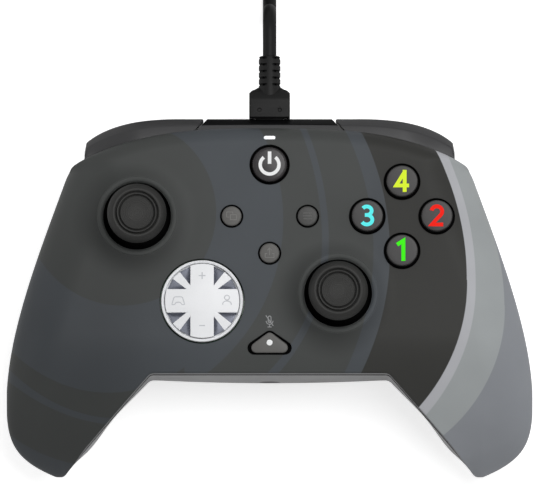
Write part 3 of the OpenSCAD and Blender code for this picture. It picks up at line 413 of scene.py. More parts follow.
# Hook-and-loop tie round the coil, with rounded corners
TIE_T, TIE_W = 0.6, 10
tie_in = sqrt((COIL_IN - CORD_D / 2) ** 2 - (TIE_W / 2) ** 2) - CLEAR
tie_out = COIL_OUT + CORD_D / 2 + CLEAR
tie_low = COIL_Z - CORD_D / 2 - CLEAR
tie_high = COIL_Z + 3 * COIL_STEP + CORD_D / 2 + CLEAR
tie_lines = []
for y, g in ((TIE_W / 2, 0.05), (TIE_W / 2, TIE_T), (-TIE_W / 2, TIE_T), (-TIE_W / 2, 0.05)):
    line = rounded(rect(-tie_out - g, tie_low - g, g - tie_in, tie_high + g), 2.2 + g, 6)
    tie_lines.append([(x - COIL_OUT, COIL_Y + y, z) for x, z in line])
m, at, s = surface("tie_weave", 0.85)
threads = []
for direction in "YX":
    wave = add(at, "TexWave", bands_direction=direction)
    put(wave, Scale=420, Vector=at)
    threads.append(wave.outputs["Fac"])
weave = maths("MAXIMUM", *threads)
put(s, Base_Color=mix(weave, srgb(22, 22, 24), srgb(52, 52, 55)))
bump(s, weave, 0.6, 0.0002)
tie = make("coil_tie", loft(list(zip(*tie_lines)), True), m, 35, "case", "tie", "cable_tie")

# Plug on the far end: overmould with a waist and grip ribs, a short ribbed relief and a steel shell
OVERMOULD = moulded("plug_overmould", (15, 15, 15), 0.5, grain=0.35, size=3000, shine=0.15)
STEEL = metal("plated_steel", (196, 196, 198), 0.28, (30, 1, 1), 500)
FAR_X, FAR_Y, FAR_Z = FAR = TAIL_ROUTE[-1]
SHELL_T, TIP_HALF_W, TIP_HALF_H = 0.35, 6, 2.25


def far_section(x, half_w, half_h, corner_r):
    line = rounded(rect(-half_w, -half_h, half_w, half_h), corner_r, 4)
    return [(FAR_X + x, FAR_Y + y, FAR_Z + z) for y, z in line]


def far_box(x0, y0, x1, y1, low, high, bevel=0):
    return prism(rect(FAR_X + x0, FAR_Y + y0, FAR_X + x1, FAR_Y + y1), FAR_Z + low, FAR_Z + high, bevel)


far_shape = [(6, 3.6, 2.9, 1.6), (6.4, 4, 3.2, 1.8), (8, 6.4, 3.7, 2), (9.6, 7.4, 4.1, 2)]
far_relief = [(2.05, 0)]
for x in 10.6 + 1.5 * np.arange(6):
    far_shape += [(x, 7.5, 4.2, 2), (x + 0.45, 7.1, 4.2, 1.8), (x + 0.95, 7.1, 4.2, 1.8), (x + 1.4, 7.5, 4.2, 2)]
far_shape += [(26.8, 7.5, 4.2, 2), (27.6, 7.3, 4, 1.9), (28, 6.9, 3.6, 1.6)]
for x in 1.5 * np.arange(4):
    far_relief += [(2.9, 0.1 + x), (2.9, 0.9 + x), (2.4, 1 + x), (2.4, 1.5 + x)]
far_relief += [(2.05, 6.2)]
far_body = joined(loft([far_section(*f) for f in far_shape]), lathe(closed(far_relief), FAR, 40, "x"))
far = make("far_overmould", far_body, OVERMOULD, 30, "case", "plug_plastic", "far_plug")
outer = [far_section(x, TIP_HALF_W, TIP_HALF_H, 0.5) for x in (27.5, 46.3, 46.5)]
inner = [far_section(x, TIP_HALF_W - SHELL_T, TIP_HALF_H - SHELL_T, 0.3) for x in (46.5, 46.3, 34)]
far_tip = solid("far_shell", loft(outer + inner), STEEL)
cut(far_tip, *[far_box(36.5, y - 1.2, 38.9, y + 1.2, 1.4, 3) for y in (-3, 3)])
piece(far_tip, 30, "case", "steel")
tongue = make("far_tongue", far_box(30, -5.4, 45.6, 5.4, -1.8, -0.1, 0.2), OVERMOULD, 30, "case", "plug_plastic")

# The two shells: the solids' own skins on a much finer grid
SHOULDER, BACK_MID = np.array((59.1, 37.6)), 49.2
WIDEST = np.array((HALF_W, -31))
GRIP_OUT = np.array((HALF_W - 14, 0.7 - GRIP_REACH))
TIP_IN = np.array((HALF_W - 17.6, 1.35 - GRIP_REACH))
NOTCH = np.array((FRONT_HALF_W, -FRONT_EDGE))
notch_dir = (TIP_IN - NOTCH) / np.linalg.norm(TIP_IN - NOTCH)
share = np.linspace(0, 1, 40)
back_line = np.stack([SHOULDER[0] * share, BACK_MID - (BACK_MID - SHOULDER[1]) * share ** 3], 1)
flank = bezier(SHOULDER, SHOULDER + (7.8, -21.8), WIDEST + (0, 21), WIDEST, 40)
grip_end = np.concatenate([
    bezier(WIDEST, WIDEST - (0, 11), GRIP_OUT + (12, 4.8), GRIP_OUT, 30),
    corner(GRIP_OUT, (HALF_W - 16.2, -0.2 - GRIP_REACH), TIP_IN, 12)])
# The shoulder's own corner is rounded between the back edge and the flank
turn = corner(back_line[-2], SHOULDER, flank[2], 12)
back_line, flank = np.concatenate([back_line[:-2], turn[:7]]), np.concatenate([turn[6:], flank[3:]])
side_line = np.concatenate([flank, grip_end])
front_line = np.concatenate([[TIP_IN], corner(NOTCH + notch_dir, NOTCH, NOTCH - (1, 0), 14), [(0, -FRONT_EDGE)]])
RIM_SHOWN = 0.55
MOUND_R, MOUND_H = 17.8, 1.1
SECTIONS, ROWS, LOWEST = 150, 110, -52


def inset(x):
    """The face stops a little behind the rear shell along the front, so that its rim shows."""
    return RIM_SHOWN * (1 - smooth((x - 54) / 5))


face_front = front_line + np.stack([np.zeros(len(front_line)), inset(front_line[:, 0])], 1)


def table(*lines):
    p = np.concatenate(lines)
    p = p[np.argsort(p[:, 0], kind="stable")]
    keep = np.concatenate([[True], np.diff(p[:, 0]) > 1e-9])
    return p[keep, 0], p[keep, 1]


HI, LO = table(back_line, flank), table(front_line, grip_end)


def edge_hi(x, w=0):
    return np.minimum(np.interp(x, *HI) - w, np.interp(x + w, *HI))


def edge_lo(x, w):
    return np.maximum.reduce([np.interp(x, *LO) + w, np.interp(x + w, *LO), np.interp(np.maximum(0, x - w), *LO)])


def line_gap(x, y, line):
    best = np.full(x.shape, 1e9)
    for a, b in zip(line, line[1:]):
        d = b - a
        q = float(d @ d)
        if q < 1e-12:
            continue
        t = np.clip(((x - a[0]) * d[0] + (y - a[1]) * d[1]) / q, 0, 1)
        best = np.minimum(best, np.hypot(x - a[0] - t * d[0], y - a[1] - t * d[1]))
    return best


def edge_gaps(x, y, w=0, front=front_line):
    return [np.maximum(0, line_gap(x, y, line) - w) for line in (side_line, back_line, front)]


def round_drop(d, r, h):
    if r <= 0:
        return np.zeros_like(d)
    return h * (1 - np.sqrt(np.maximum(0, 1 - np.maximum(0, 1 - d / r) ** 2)))


def top_skin(x, y, g, w=0):
    fall = (GRIP_START - y) / (GRIP_START + GRIP_REACH)
    face = FACE_Z - CROWN * ((x / HALF_W) ** 2 + (y / GRIP_REACH) ** 2) - GRIP_DROOP * np.maximum(0, fall) ** 1.7
    side = SIDE_ROUND * (1 + (TIP_SHARE - 1) * smooth(fall))
    rounds = (SIDE_ROUND, side), (BACK_ROUND, BACK_ROUND), (FRONT_ROUND, FRONT_ROUND)
    return face - w - sum(round_drop(d, r - w, h - w) ** 4 for d, (r, h) in zip(g, rounds)) ** 0.25


def fullness(d, r, n):
    return np.maximum(0, 1 - np.maximum(0, 1 - d / r) ** n) ** (1 / n)


def rear_skin(x, y, g, w=0):
    grip = smooth((x - 34) / 12)
    s = (fullness(g[0], UNDER_SIDE, 2) * fullness(g[1], UNDER_BACK, 2.5)
         * fullness(g[2], 5 + 9 * grip, 4 - 1.8 * grip))
    under = np.maximum(0, np.where(y > -36, 0.0045, 0.02) * (y + 36) ** 2 - 0.5)
    under = BELLY_Z + (under - BELLY_Z) * smooth((x - 30) / 22)
    top = top_skin(x, y, g, w)
    return top + (under + w - top) * s - SEAM * (1 - s)


def mound(x, y):
    """The face swells gently up to each stick's collar."""
    z, inside = np.zeros_like(x), STICK_HOLE + COLLAR_W
    for cx, cy in STICKS.values():
        r = np.hypot(x - cx, y - cy)
        z += MOUND_H * (1 - np.clip((r - inside) / (MOUND_R - inside), 0, 1)) ** 2
    return z


def skin_grid(rear, w):
    u = np.arange(-SECTIONS, SECTIONS + 1) / SECTIONS
    x = (HALF_W - w - 0.1) * np.sin(np.pi / 2 * u)
    ax = np.abs(x)
    lo, hi = edge_lo(ax, w) + (0 if rear else inset(ax)), edge_hi(ax, w)
    lo = np.maximum(lo, LOWEST + w)
    v = (1 - np.cos(np.pi * np.arange(ROWS + 1) / ROWS)) / 2
    y = lo[:, None] + (hi - lo)[:, None] * v[None]
    X = np.repeat(x[:, None], ROWS + 1, 1)
    g = edge_gaps(np.abs(X), y, w, front_line if rear else face_front)
    g[0][0, :] = g[0][-1, :] = 0
    z = (rear_skin if rear else top_skin)(np.abs(X), y, g, w)
    if rear:
        # The wall under the rim swells forward in the middle and at the tips of the grips
        swell = np.maximum(0, 1 - (ax / 36) ** 2) + 1.9 * smooth((ax - 45) / 9) * (1 - smooth((ax - 58) / 2))
        y -= swell[:, None] * smooth((z[:, :1] - z) / 13) * (1 - smooth((y - lo[:, None]) / 12))
        y = np.maximum(y, LOWEST + w)
    elif w == 0:
        z += mound(X, y)
    return np.stack([X, y, z], 2).reshape(-1, 3)


def shell(name, rear, material):
    points = np.concatenate([skin_grid(rear, 0), skin_grid(rear, WALL)])
    faces = grid_faces(2 * SECTIONS + 1, ROWS + 1)
    return solid(name, (points, [f[::-1] for f in faces] if rear else faces), material)


def at_place(skin, p):
    """A skin's height at one place."""
    x, y = np.array([abs(p[0])], float), np.array([p[1]], float)
    return float(skin(x, y, edge_gaps(x, y))[0])


def local_face(p):
    return at_place(top_skin, p) + float(mound(np.array([p[0]], float), np.array([p[1]], float))[0])


def hole(p, r, chamfer=0.08):
    top, low, wide = local_face(p), FACE_Z - 2 * WALL, r + 2 * chamfer
    return lathe([(0, low), (r, low), (r, top - chamfer), (wide, top + chamfer), (wide, top + 3), (0, top + 3)], p)


def bore(r, low, high):
    return [(0, low), (r, low), (r, high), (0, high)]


def mute_outline(g):
    low, top, side = -MUTE_H / 2 - g, MUTE_H / 2 - 0.2 + g * 1.3, MUTE_HALF_W - 0.65 + g * 1.3
    slope = degrees(atan2(top + 1 - low, side + 2.2))
    line = []
    for cx, cy, start, end in (
            (side - 1.5, low + 1.5 + g, -90, 90 - slope), (0, top - 1.2 - g, 90 - slope, 90 + slope),
            (1.5 - side, low + 1.5 + g, 90 + slope, 270)):
        line += bow_path(MUTE[0] + cx, MUTE[1] + cy, 1.5 + g, start, end, 10)
    return line


def pill(centre, w, d):
    x, y = centre
    return (bow_path(x + (w - d) / 2, y, d / 2, -90, 90, 12) + bow_path(x - (w - d) / 2, y, d / 2, 90, 270, 12))


def shoulder_room(low, high, end, deep):
    x = np.linspace(-end, end, 41)
    line = list(zip(x, edge_hi(np.abs(x)) - deep))
    return prism(line + [(end, 2 * FACE_BACK), (-end, 2 * FACE_BACK)], low, high)


# Face material: soft-touch paint with broad arcs in greys
def face_material():
    m, at, s = surface("face_soft_touch", 0.45, Specular_IOR_Level=0.2)
    x, y, _ = axes(at)
    olive, blue, dark, black = srgb(63, 65, 64), srgb(68, 72, 76), srgb(43, 43, 41), (0, 0, 0)

    def over(socket, v):
        return maths("GREATER_THAN", socket, v * MM)

    def under(socket, v):
        return maths("LESS_THAN", socket, v * MM)

    def arc(cx, cy, r, soft=0.1):
        """0 inside a circle and 1 outside it."""
        dx, dy = maths("SUBTRACT", x, cx * MM), maths("SUBTRACT", y, cy * MM)
        d = maths("SQRT", maths("ADD", times(dx, dx), times(dy, dy)))
        return ramp(d, (r - soft) * MM, (r + soft) * MM, 0, 1)

    def two_arcs(join, high, low):
        return maths("ADD", times(over(y, join), arc(*high)), times(under(y, join), arc(*low)))

    grip, middle = times(under(x, -25), under(y, 0)), over(x, -25)
    color = mix(arc(-43.3, 24, 27.6), olive, blue)
    for where, tone, low, *high in (
            (grip, olive, (-47.4, 9.7, 38.5)), (grip, blue, (-43.9, 7.7, 43.8)), (grip, olive, (-42.2, 14.5, 52.5)),
            (grip, blue, (-50.5, -6.5, 42.6)), (middle, olive, (-52.5, 21.7, 56.5)),
            # Behind its widest point the thin stripe runs nearly straight
            (middle, blue, (-37.6, 14.8, 53), (-74.7, 15.3, 90.1)),
            (middle, olive, (-39.6, 15, 57), (-73.4, 15, 90.8)),
            (middle, blue, (-49.7, 12.8, 80.2)), (middle, dark, (-44, 12.4, 79.3))):
        color = mix(times(where, two_arcs(15, *high, low) if high else arc(*low)), color, tone)
    outside = times(middle, over(x, 0))
    for join, high, low, tone in (
            (4, (-25.9, 4.6, 83.8), (5.1, 3.1, 52.9), (172, 173, 177)),
            (3, (-30.6, 3.4, 91.1), (5.1, 2.3, 55.4), (152, 156, 157)),
            (-3, (-3.9, -2.9, 72.9), (22.9, -4.2, 46.2), (132, 135, 140))):
        outside = times(outside, two_arcs(join, high, low))
        if join < 0:
            outside = times(outside, under(y, 18))
        color = mix(outside, color, srgb(*tone))
    # Painted shade: the colour darkens towards the left grip, standing in for the shade on the side away from the lamp
    painted_left_shade = times(ramp(x, -50 * MM, -15 * MM, 0.38, 0), ramp(y, -10 * MM, 35 * MM, 1, 0.3))
    color = mix(painted_left_shade, color, black)
    # Painted shade on the slope beside each stick's ring, darkest towards the lower left, standing in for the shade
    # round the mound
    for cx, cy in STICKS.values():
        shade = maths("MULTIPLY_ADD", arc(cx - 1.6, cy - 1.8, 14.2, 3.6), -1, 1)
        color = mix(times(arc(cx, cy, 11.85, 0.05), shade, 0.42), color, black)
    fine = noise(at, 5200, 3, 0.6)
    tint = add(at, "Mix", data_type="RGBA", blend_type="MULTIPLY")
    for i, v in ((0, 1), (6, color), (7, ramp(noise(at, 60), 0.3, 0.7, 0.96, 1.04))):
        connect(tint.inputs[i], v)
    put(s, Base_Color=tint.outputs[2], Roughness=ramp(fine, 0.3, 0.7, 0.5, 0.62))
    bump(s, fine, 0.1, 0.00005)
    return m


# Face, with its holes and a raised ring round each stick
FACE = face_material()
ACTIONS = {name: (ACTION[0] + ACTION_PITCH * dx, ACTION[1] + ACTION_PITCH * dy) for name, dx, dy in (
    ("top", 0, 1), ("left", -1, 0), ("right", 1, 0), ("bottom", 0, -1))}
top = shell("face_shell", False, FACE)
holes = [lathe(bore(STICK_HOLE, 42, 52), p, 120) for p in STICKS.values()]
holes += [hole(DPAD, DPAD_R + 0.5), hole(HOME, HOME_R + BUTTON_GAP + 0.2)]
holes += [hole(p, ACTION_R + BUTTON_GAP + 0.08) for p in ACTIONS.values()]
holes += [hole(p, SMALL_R + BUTTON_GAP) for p in SMALL.values()]
holes += [prism(mute_outline(BUTTON_GAP), 40, 50), prism(pill(LED, LED_W + 0.1, LED_D + 0.1), 42, 50)]
cut(top, *holes)
cut(top, shoulder_room(0, BUMPER_TOP + CLEAR, 50, PRESS_DEEP))
cut(top, shoulder_room(0, BUMPER_TOP - END_DROP + CLEAR, BUMPER_END + 0.5, PRESS_DEEP))
piece(top, 35, "case", "face_plastic", "top_shell")
LIP = [(11.75, 44.2), (11.75, 47.6), (11.69, 47.77), (11.55, 47.87), (11.2, 47.91), (10.6, 47.89),
       (10.3, 47.79), (10.1, 47.57), (10, 47.2), (10, 44.2)]
for side, p in STICKS.items():
    make(side + "_stick_lip", lathe(closed(LIP), p, 144), FACE, 50, "case", "face_plastic")

# Rear shell, with its wells for the triggers, the screws and the jack
REAR, at, s = surface("rear_grip_plastic", 0.5, Specular_IOR_Level=0.25)
dots = add(at, "TexVoronoi", feature="F1")
put(dots, Scale=950, Randomness=0, Vector=at)
studs = times(ramp(dots.outputs["Distance"], 0.25, 0.5, 1, 0),
              ramp(maths("ABSOLUTE", axes(at)[0]), 40 * MM, 44 * MM, 0, 1))
fine = noise(at, 4200, 3, 0.6)
plain = mix(ramp(noise(at, 70), 0.3, 0.7, 0, 1), srgb(138, 138, 139), srgb(147, 147, 148))
put(s, Base_Color=mix(times(studs, 0.25), plain, srgb(168, 168, 169)), Roughness=ramp(fine, 0.3, 0.7, 0.44, 0.56))
bump(s, maths("ADD", studs, times(fine, 0.2)), 0.35, 0.00015)
WELL_HALF, WELL_Y, JACK_R, TUBE_R, TUBE_IN, TUBE_BORE = TRIGGER_W / 2 + 0.8, 35.4, 3.05, 4.4, 3, 1.45
rear = shell("rear_case", True, REAR)
for side, sx in SIDES:
    cx = sx * TRIGGER_X
    cut(rear, prism(rounded(rect(cx - WELL_HALF, WELL_Y, cx + WELL_HALF, 90), 1.5, 5), 0.5, BUMPER_LOW))
cut(rear, shoulder_room(BUMPER_LOW - CLEAR, FACE_Z, BUMPER_END + 0.5, SHOULDER_DEEP))
cut(rear, *[lathe(bore(CASE_HEAD_R + CLEAR, -1, 28), p, 48) for p in CASE_POSTS])
cut(rear, lathe(bore(JACK_R, -FRONT_EDGE - 3, -FRONT_EDGE + 5), (0, 0, JACK_Z), 64, "y"))
piece(rear, 35, "case", "rear_plastic", "rear_shell")
tubes = []
for p in CASE_POSTS:
    low, high = at_place(rear_skin, p) + 0.9, CASE_SEAT + 2
    ring = [(TUBE_R, low + 1.6), (TUBE_R, high), (TUBE_BORE, high), (TUBE_BORE, CASE_SEAT), (TUBE_IN, CASE_SEAT),
            (TUBE_IN, low), (TUBE_IN + 0.3, low)]
    tubes.append(lathe(closed(ring), p, 48))
make("screw_tubes", joined(*tubes), REAR, 35, "case", "rear_plastic")

# Bumpers and the bridge between them: one rounded section along the back edge, split on the slant
SHOULDER_DARK = moulded("shoulder_satin", (56, 56, 57), 0.38, grain=0.08, size=5000)
# A near-black copy of the shoulder plastic: painted shade for the faces that look backward
SHOULDER_SHADE = moulded("shoulder_painted_shade", (13, 13, 14), 0.35, grain=0.05, size=5000, shine=0.05)
BUMPER_DEEP, BUMPER_SLANT = 2.5, 40
bow = bezier((25, 0), (36, 0.2), (48.2, -1.2), (BUMPER_END - 0.1, -7.2), 40)
bow = np.concatenate([[(0, 0)], bow, [(BUMPER_END, -9.5)]]) + (0, BUMPER_BACK)


def bow_at(x):
    return float(np.interp(abs(x), bow[:, 0], bow[:, 1]))


def bumper_section(x):
    front, back_y = FACE_BACK - 9.2 * (abs(x) / 58.2) ** 3 - BUMPER_DEEP, bow_at(x)
    span = back_y - front
    crest = BUMPER_TOP - END_DROP * float(smooth((abs(x) - 38) / 15))
    outline = [(front, BUMPER_LOW), (back_y - 0.2 * span, BUMPER_LOW), (back_y - 0.1 * span, BUMPER_LOW + 0.6),
               (back_y, crest - 0.4 * BUMPER_H), (back_y - 0.04 * span, crest - 2.8),
               (back_y - 0.3 * span, crest - 0.35), (front + 0.4 * span, crest), (front, crest)]
    return [(x, y, z) for y, z in rounded(outline, 0.4, 3)]


def bumper_loft(name, start, end, count):
    return solid(name, loft([bumper_section(x) for x in np.linspace(start, end, count + 1)]), SHOULDER_DARK)


def slanted(o, sx, g, keep_outer, slant=BUMPER_SLANT):
    """Cuts a loft on the slanted split on one side and closes the cut."""
    a = radians(slant)
    bm = bmesh.new()
    bm.from_mesh(o.data)
    out = bmesh.ops.bisect_plane(
        bm, geom=bm.verts[:] + bm.edges[:] + bm.faces[:], plane_no=(sx * cos(a), sin(a), 0),
        plane_co=Vector((sx * (BUMPER_SPLIT + g), BUMPER_BACK, 0)) * MM,
        clear_inner=keep_outer, clear_outer=not keep_outer)
    edges = [e for e in out["geom_cut"] if isinstance(e, bmesh.types.BMEdge)]
    bmesh.ops.holes_fill(bm, edges=edges, sides=0)
    bmesh.ops.recalc_face_normals(bm, faces=bm.faces[:])
    bm.to_mesh(o.data)
    bm.free()


def paint_back_shade(o, limit):
    """The faces that look backward get a near-black copy of the shoulder plastic, as painted shade."""
    o.data.materials.append(SHOULDER_SHADE)
    for f in o.data.polygons:
        if f.normal.y > limit:
            f.material_index = len(o.data.materials) - 1


bridge = bumper_loft("back_bridge", -23, 23, 46)
for sx in (1, -1):
    slanted(bridge, sx, -SPLIT_GAP / 2, False)
cut(bridge, prism(rect(-4.5, 40, 4.5, 60), PLUG_Z - 2, PLUG_Z + 2))
# The bridge's backward faces are given painted shade, and so are the bumpers' below
paint_back_shade(bridge, 0.35)
piece(bridge, 28, "case", "shoulder_plastic", "top_bridge")
for side, sx in SIDES:
    o = bumper_loft(side + "_bumper_skin", *sorted((sx * (BUMPER_SPLIT - 1), sx * BUMPER_END)), 70)
    for slant, g in ((BUMPER_SLANT, SPLIT_GAP / 2), (5, 0.75), (-30, 1.2)):
        slanted(o, sx, g, True, slant)
    paint_back_shade(o, 0.85)
    piece(o, 28, side + "_bumper_body", "shoulder_plastic", side + "_bumper")


# Strokes for numerals and small signs
def ribbon(path, width, low, high, ring=False):
    """A flat raised stroke along a path of (x, y)."""
    p = np.array(path, float)
    ahead, behind = np.roll(p, -1, 0) - p, p - np.roll(p, 1, 0)
    if not ring:
        ahead[-1], behind[0] = behind[-1], ahead[0]
    ahead = unit(ahead)
    side = unit((ahead + unit(behind))[:, ::-1] * (-1, 1))
    stretch = 1 / np.maximum(0.45, np.abs(side[:, 1] * ahead[:, 0] - side[:, 0] * ahead[:, 1]))
    reach = side * (width / 2 * stretch)[:, None]
    edges = ((p + reach, high), (p - reach, high), (p - reach, low), (p + reach, low))
    return loft(np.stack([np.insert(line, 2, z, 1) for line, z in edges], 1), ring)


def sign(name, body, slot, p, top, rise, material, *strokes, deep=0.1):
    """Several strokes (width, path and whether it is a ring) at a place, as one thin raised piece."""
    parts = [ribbon([(p[0] + x, p[1] + y) for x, y in path], width, top - deep, top + rise + 0.012 * i, *ring)
             for i, (width, path, *ring) in enumerate(strokes)]
    make(name, joined(*parts), material, None, body, slot)


# Buttons
# A near-black ring under each button's gap: a dark piece set where there is only shade, as painted shade
SHADE_RING = moulded("skirt_black", (9, 9, 9), 0.7, grain=0.1, shine=0.03)
SHADE_RING_TOP, SMALL_TOP, ACTION_TOP = FACE_Z - 0.35, FACE_Z + SMALL_RISE, FACE_Z + ACTION_RISE


def round_button(name, p, r, top, material, slot, dome, corner_r, slim=0):
    """A domed cap, with a near-black ring and flange under the face: a dark piece set in the gap as painted shade."""
    body, flat = name + "_button_body", r - slim - corner_r
    line = [(0, FLANGE_TOP), (r - slim, FLANGE_TOP)] + bow_path(flat, top - corner_r, corner_r, 0, 90, 6)
    line += [(flat * f, top + dome * (1 - f * f)) for f in (0.8, 0.6, 0.4, 0.2)] + [(0, top + dome)]
    make(name + "_cap", lathe(line, p), material, 40, body, slot, name + "_button")
    wide, inner = r + FLANGE_W, r + 0.05
    line = [(0, BUTTON_LOW), (wide, BUTTON_LOW), (wide, FLANGE_TOP - 0.1), (wide - 0.1, FLANGE_TOP),
            (inner, FLANGE_TOP), (inner, SHADE_RING_TOP), (r - 0.4, SHADE_RING_TOP), (0, SHADE_RING_TOP)]
    make(name + "_skirt", lathe(line, p, 72), SHADE_RING, 40, body, slot)


BUTTON = moulded("button_smoke", (52, 51, 51), 0.35, grain=0.03, size=4000)
NUMERALS = {
    "bottom": [(1.15, [(-1.5, 1.6), (0.35, 2.75), (0.35, -3.2)])],
    "right": [(1.15, bow_path(0, 1.2, 1.5, 170, -38, 18, 1.55) + [(-1.5, -2.65), (1.85, -2.65)])],
    "left": [(1.1, bow_path(-0.15, 1.4, 1.25, 145, -90, 18, 1.4) + [(-0.75, 0.15)]),
             (1.1, [(-0.75, 0.15)] + bow_path(-0.15, -1.25, 1.4, 90, -150, 18, 1.6))],
    "top": [(1.1, [(0.7, 2.6), (-1.75, -1.35), (2.05, -1.35)]), (1.15, [(0.75, 3.25), (0.75, -3.25)])],
}
INKS = {"top": (224, 248, 52), "left": (98, 250, 250), "right": (250, 30, 14), "bottom": (66, 250, 18)}
for name, p in ACTIONS.items():
    round_button(name, p, ACTION_R, ACTION_TOP, BUTTON, "button_plastic", 0.08, 0.3, 0.25)
    sign(name + "_numeral", name + "_button_body", "button_plastic", p, ACTION_TOP, 0.16,
         printed("ink_" + name, INKS[name]), *NUMERALS[name])

HOME_DARK = moulded("home_gloss", (48, 46, 47), 0.25, grain=0.02, size=3000)
round_button("home", HOME, HOME_R, SMALL_TOP, HOME_DARK, "home_plastic", 0.25, 0.8, 0.1)
WHITE_INK = printed("ink_white", (242, 243, 243))
sign("home_sign", "home_button_body", "home_plastic", HOME, SMALL_TOP, 0.27, WHITE_INK,
     (1, bow_path(0, -0.15, 2.75, 128, 412, 48)), (1.05, [(0, 3.75), (0, 0.1)]))

SMALL_GREY = moulded("small_button_grey", (90, 89, 87), 0.42, grain=0.05, size=4500)
SMALL_DARK = moulded("menu_button_grey", (68, 68, 67), 0.42, grain=0.05, size=4500)
PALE_INK = printed("ink_faint", (122, 121, 119), 0.4)
DIM_INK = printed("ink_dim", (98, 98, 97), 0.4)
SIGNS = {
    "view": [(0.24, rect(-0.35, -1.15, 1.4, 0.35), True),
             (0.24, [(-0.65, -0.35), (-1.45, -0.35), (-1.45, 1.15), (0.35, 1.15), (0.35, 0.65)])],
    "menu": [(0.3, [(-1.35, y), (1.35, y)]) for y in (0.85, 0, -0.85)],
    "share": [(0.24, [(-0.7, -0.2), (-1.3, -0.2), (-1.3, -1.35), (1.3, -1.35), (1.3, -0.2), (0.7, -0.2)]),
              (0.24, [(0, -0.75), (0, 1.4)]), (0.24, [(-0.65, 0.75), (0, 1.45), (0.65, 0.75)])],
}
SMALL_SLOT = "small_button_plastic"
for name, p in SMALL.items():
    shade, ink = (SMALL_DARK, DIM_INK) if name == "menu" else (SMALL_GREY, PALE_INK)
    round_button(name, p, SMALL_R, SMALL_TOP, shade, SMALL_SLOT, 0.15, 0.45)
    sign(name + "_sign", name + "_button_body", SMALL_SLOT, p, SMALL_TOP, 0.165, ink, *SIGNS[name])

mute = prism(mute_outline(0), FLANGE_TOP, SMALL_TOP, 0.35, 4)
make("mute_cap", mute, SMALL_GREY, 40, "mute_button_body", SMALL_SLOT, "mute_button")
# The mute button's near-black ring is painted shade in its gap too
gap_shade = joined(prism(mute_outline(FLANGE_W), BUTTON_LOW, FLANGE_TOP),
               prism(mute_outline(0.05), FLANGE_TOP - 0.1, SHADE_RING_TOP))
make("mute_skirt", gap_shade, SHADE_RING, 40, "mute_button_body", SMALL_SLOT)
dot = [(0, FACE_Z + 0.5), (0.87, FACE_Z + 0.5), (0.87, SMALL_TOP + 0.02), (0.8, SMALL_TOP + 0.06),
       (0, SMALL_TOP + 0.08)]
make("mute_dot", lathe(dot, (MUTE[0], MUTE[1] + 0.05), 40), WHITE_INK, 40, "mute_button_body", SMALL_SLOT)
MIC = (0, -8.25)
sign("mic_sign", "case", "face_plastic", MIC, local_face(MIC), 0.035, printed("ink_mic", (150, 151, 152), 0.45),
     (0.26, bow_path(0, 1.15, 0.42, 0, 180, 10) + bow_path(0, 0.1, 0.42, 180, 360, 10), True),
     (0.24, bow_path(0, 0.15, 1, 180, 360, 16)), (0.24, [(0, -0.85), (0, -1.6)]),
     (0.24, [(-0.6, -1.65), (0.6, -1.65)]), (0.26, [(-1.1, 1.75), (1.1, -1.35)]), deep=0.15)

# Sticks: rubber caps with grooves and fine rings, on a dome that fills the hole; heights are from the pivot
RUBBER = moulded("stick_rubber_black", (36, 36, 35), 0.55, grain=0.25, size=3600)
DISH = moulded("stick_dish_grip", (52, 52, 51), 0.6, grain=0.35, size=3000)
DOME_BLACK = moulded("stick_dome_black", (10, 10, 10), 0.5, grain=0.1, shine=0.05)
DOME_R, DOME_IN, DOME_BORE, DOME_EDGE = 13.6, 12.6, 2.45, 24
NECK_R, RIM_LOW, DISH_LOW, DISH_R = 3.1, 19.4, 23.4, 6.9
CENTRE_R, CENTRE_TOP, CENTRE_DIP, RING_STEP, RING_H = 4.7, 24.34, 0.35, 0.52, 0.075
dome_line = bow_path(0, 0, DOME_IN, degrees(acos(DOME_BORE / DOME_IN)), DOME_EDGE, 24)
dome_line += bow_path(0, 0, DOME_R, DOME_EDGE, degrees(acos(NECK_R / DOME_R)), 24)
dome_line += [(NECK_R, RIM_LOW - 2), (DOME_BORE, RIM_LOW - 2)]
stick_line = [(0, RIM_LOW - 2.6), (NECK_R, RIM_LOW - 2.6)]
stick_line += [tuple(q) for q in corner((NECK_R, RIM_LOW - 2.5), (NECK_R, RIM_LOW), (NECK_R + 2.5, RIM_LOW), 8)]
stick_line += [
    (8, RIM_LOW + 0.8), (8.45, RIM_LOW + 1.15), (8.66, RIM_LOW + 1.5), (8.7, RIM_LOW + 1.9), (8.7, 22),
    (8.62, 22.8), (8.38, 23.5), (8.02, 24.1), (7.6, 24.58), (7.28, 24.86), (6.95, 25), (6.62, 24.9), (6.42, 24.66),
    (6.34, 23.8), (6.12, 23.6), (5.92, 23.8), (5.86, 24.45), (5.74, 24.62), (5.55, 24.62), (5.42, 24.48), (5.36, 23.7),
    (5.15, 23.5), (4.96, 23.7), (4.9, 24.2), (4.8, CENTRE_TOP)]
for k in range(36):
    r = 4.68 - 4.6 * k / 36
    ripple = RING_H * cos(2 * pi * r / RING_STEP)
    stick_line.append((r, CENTRE_TOP - CENTRE_DIP * (1 - (r / CENTRE_R) ** 2) + ripple))
stick_line += [(0, 24.04)]
for side, p in STICKS.items():
    body = side + "_stick_click_body"
    thumb = solid(side + "_thumb", lathe(stick_line, (*p, PIVOT_Z), 120), RUBBER)
    thumb.data.materials.append(DISH)
    for f in thumb.data.polygons:
        x, y, z = f.center / MM
        f.material_index = int(z > PIVOT_Z + DISH_LOW and hypot(x - p[0], y - p[1]) < DISH_R)
    piece(thumb, 50, body, "stick_rubber", side + "_stick_cap")
    make(side + "_dome", lathe(closed(dome_line), (*p, PIVOT_Z)), DOME_BLACK, 50, body, "stick_rubber")
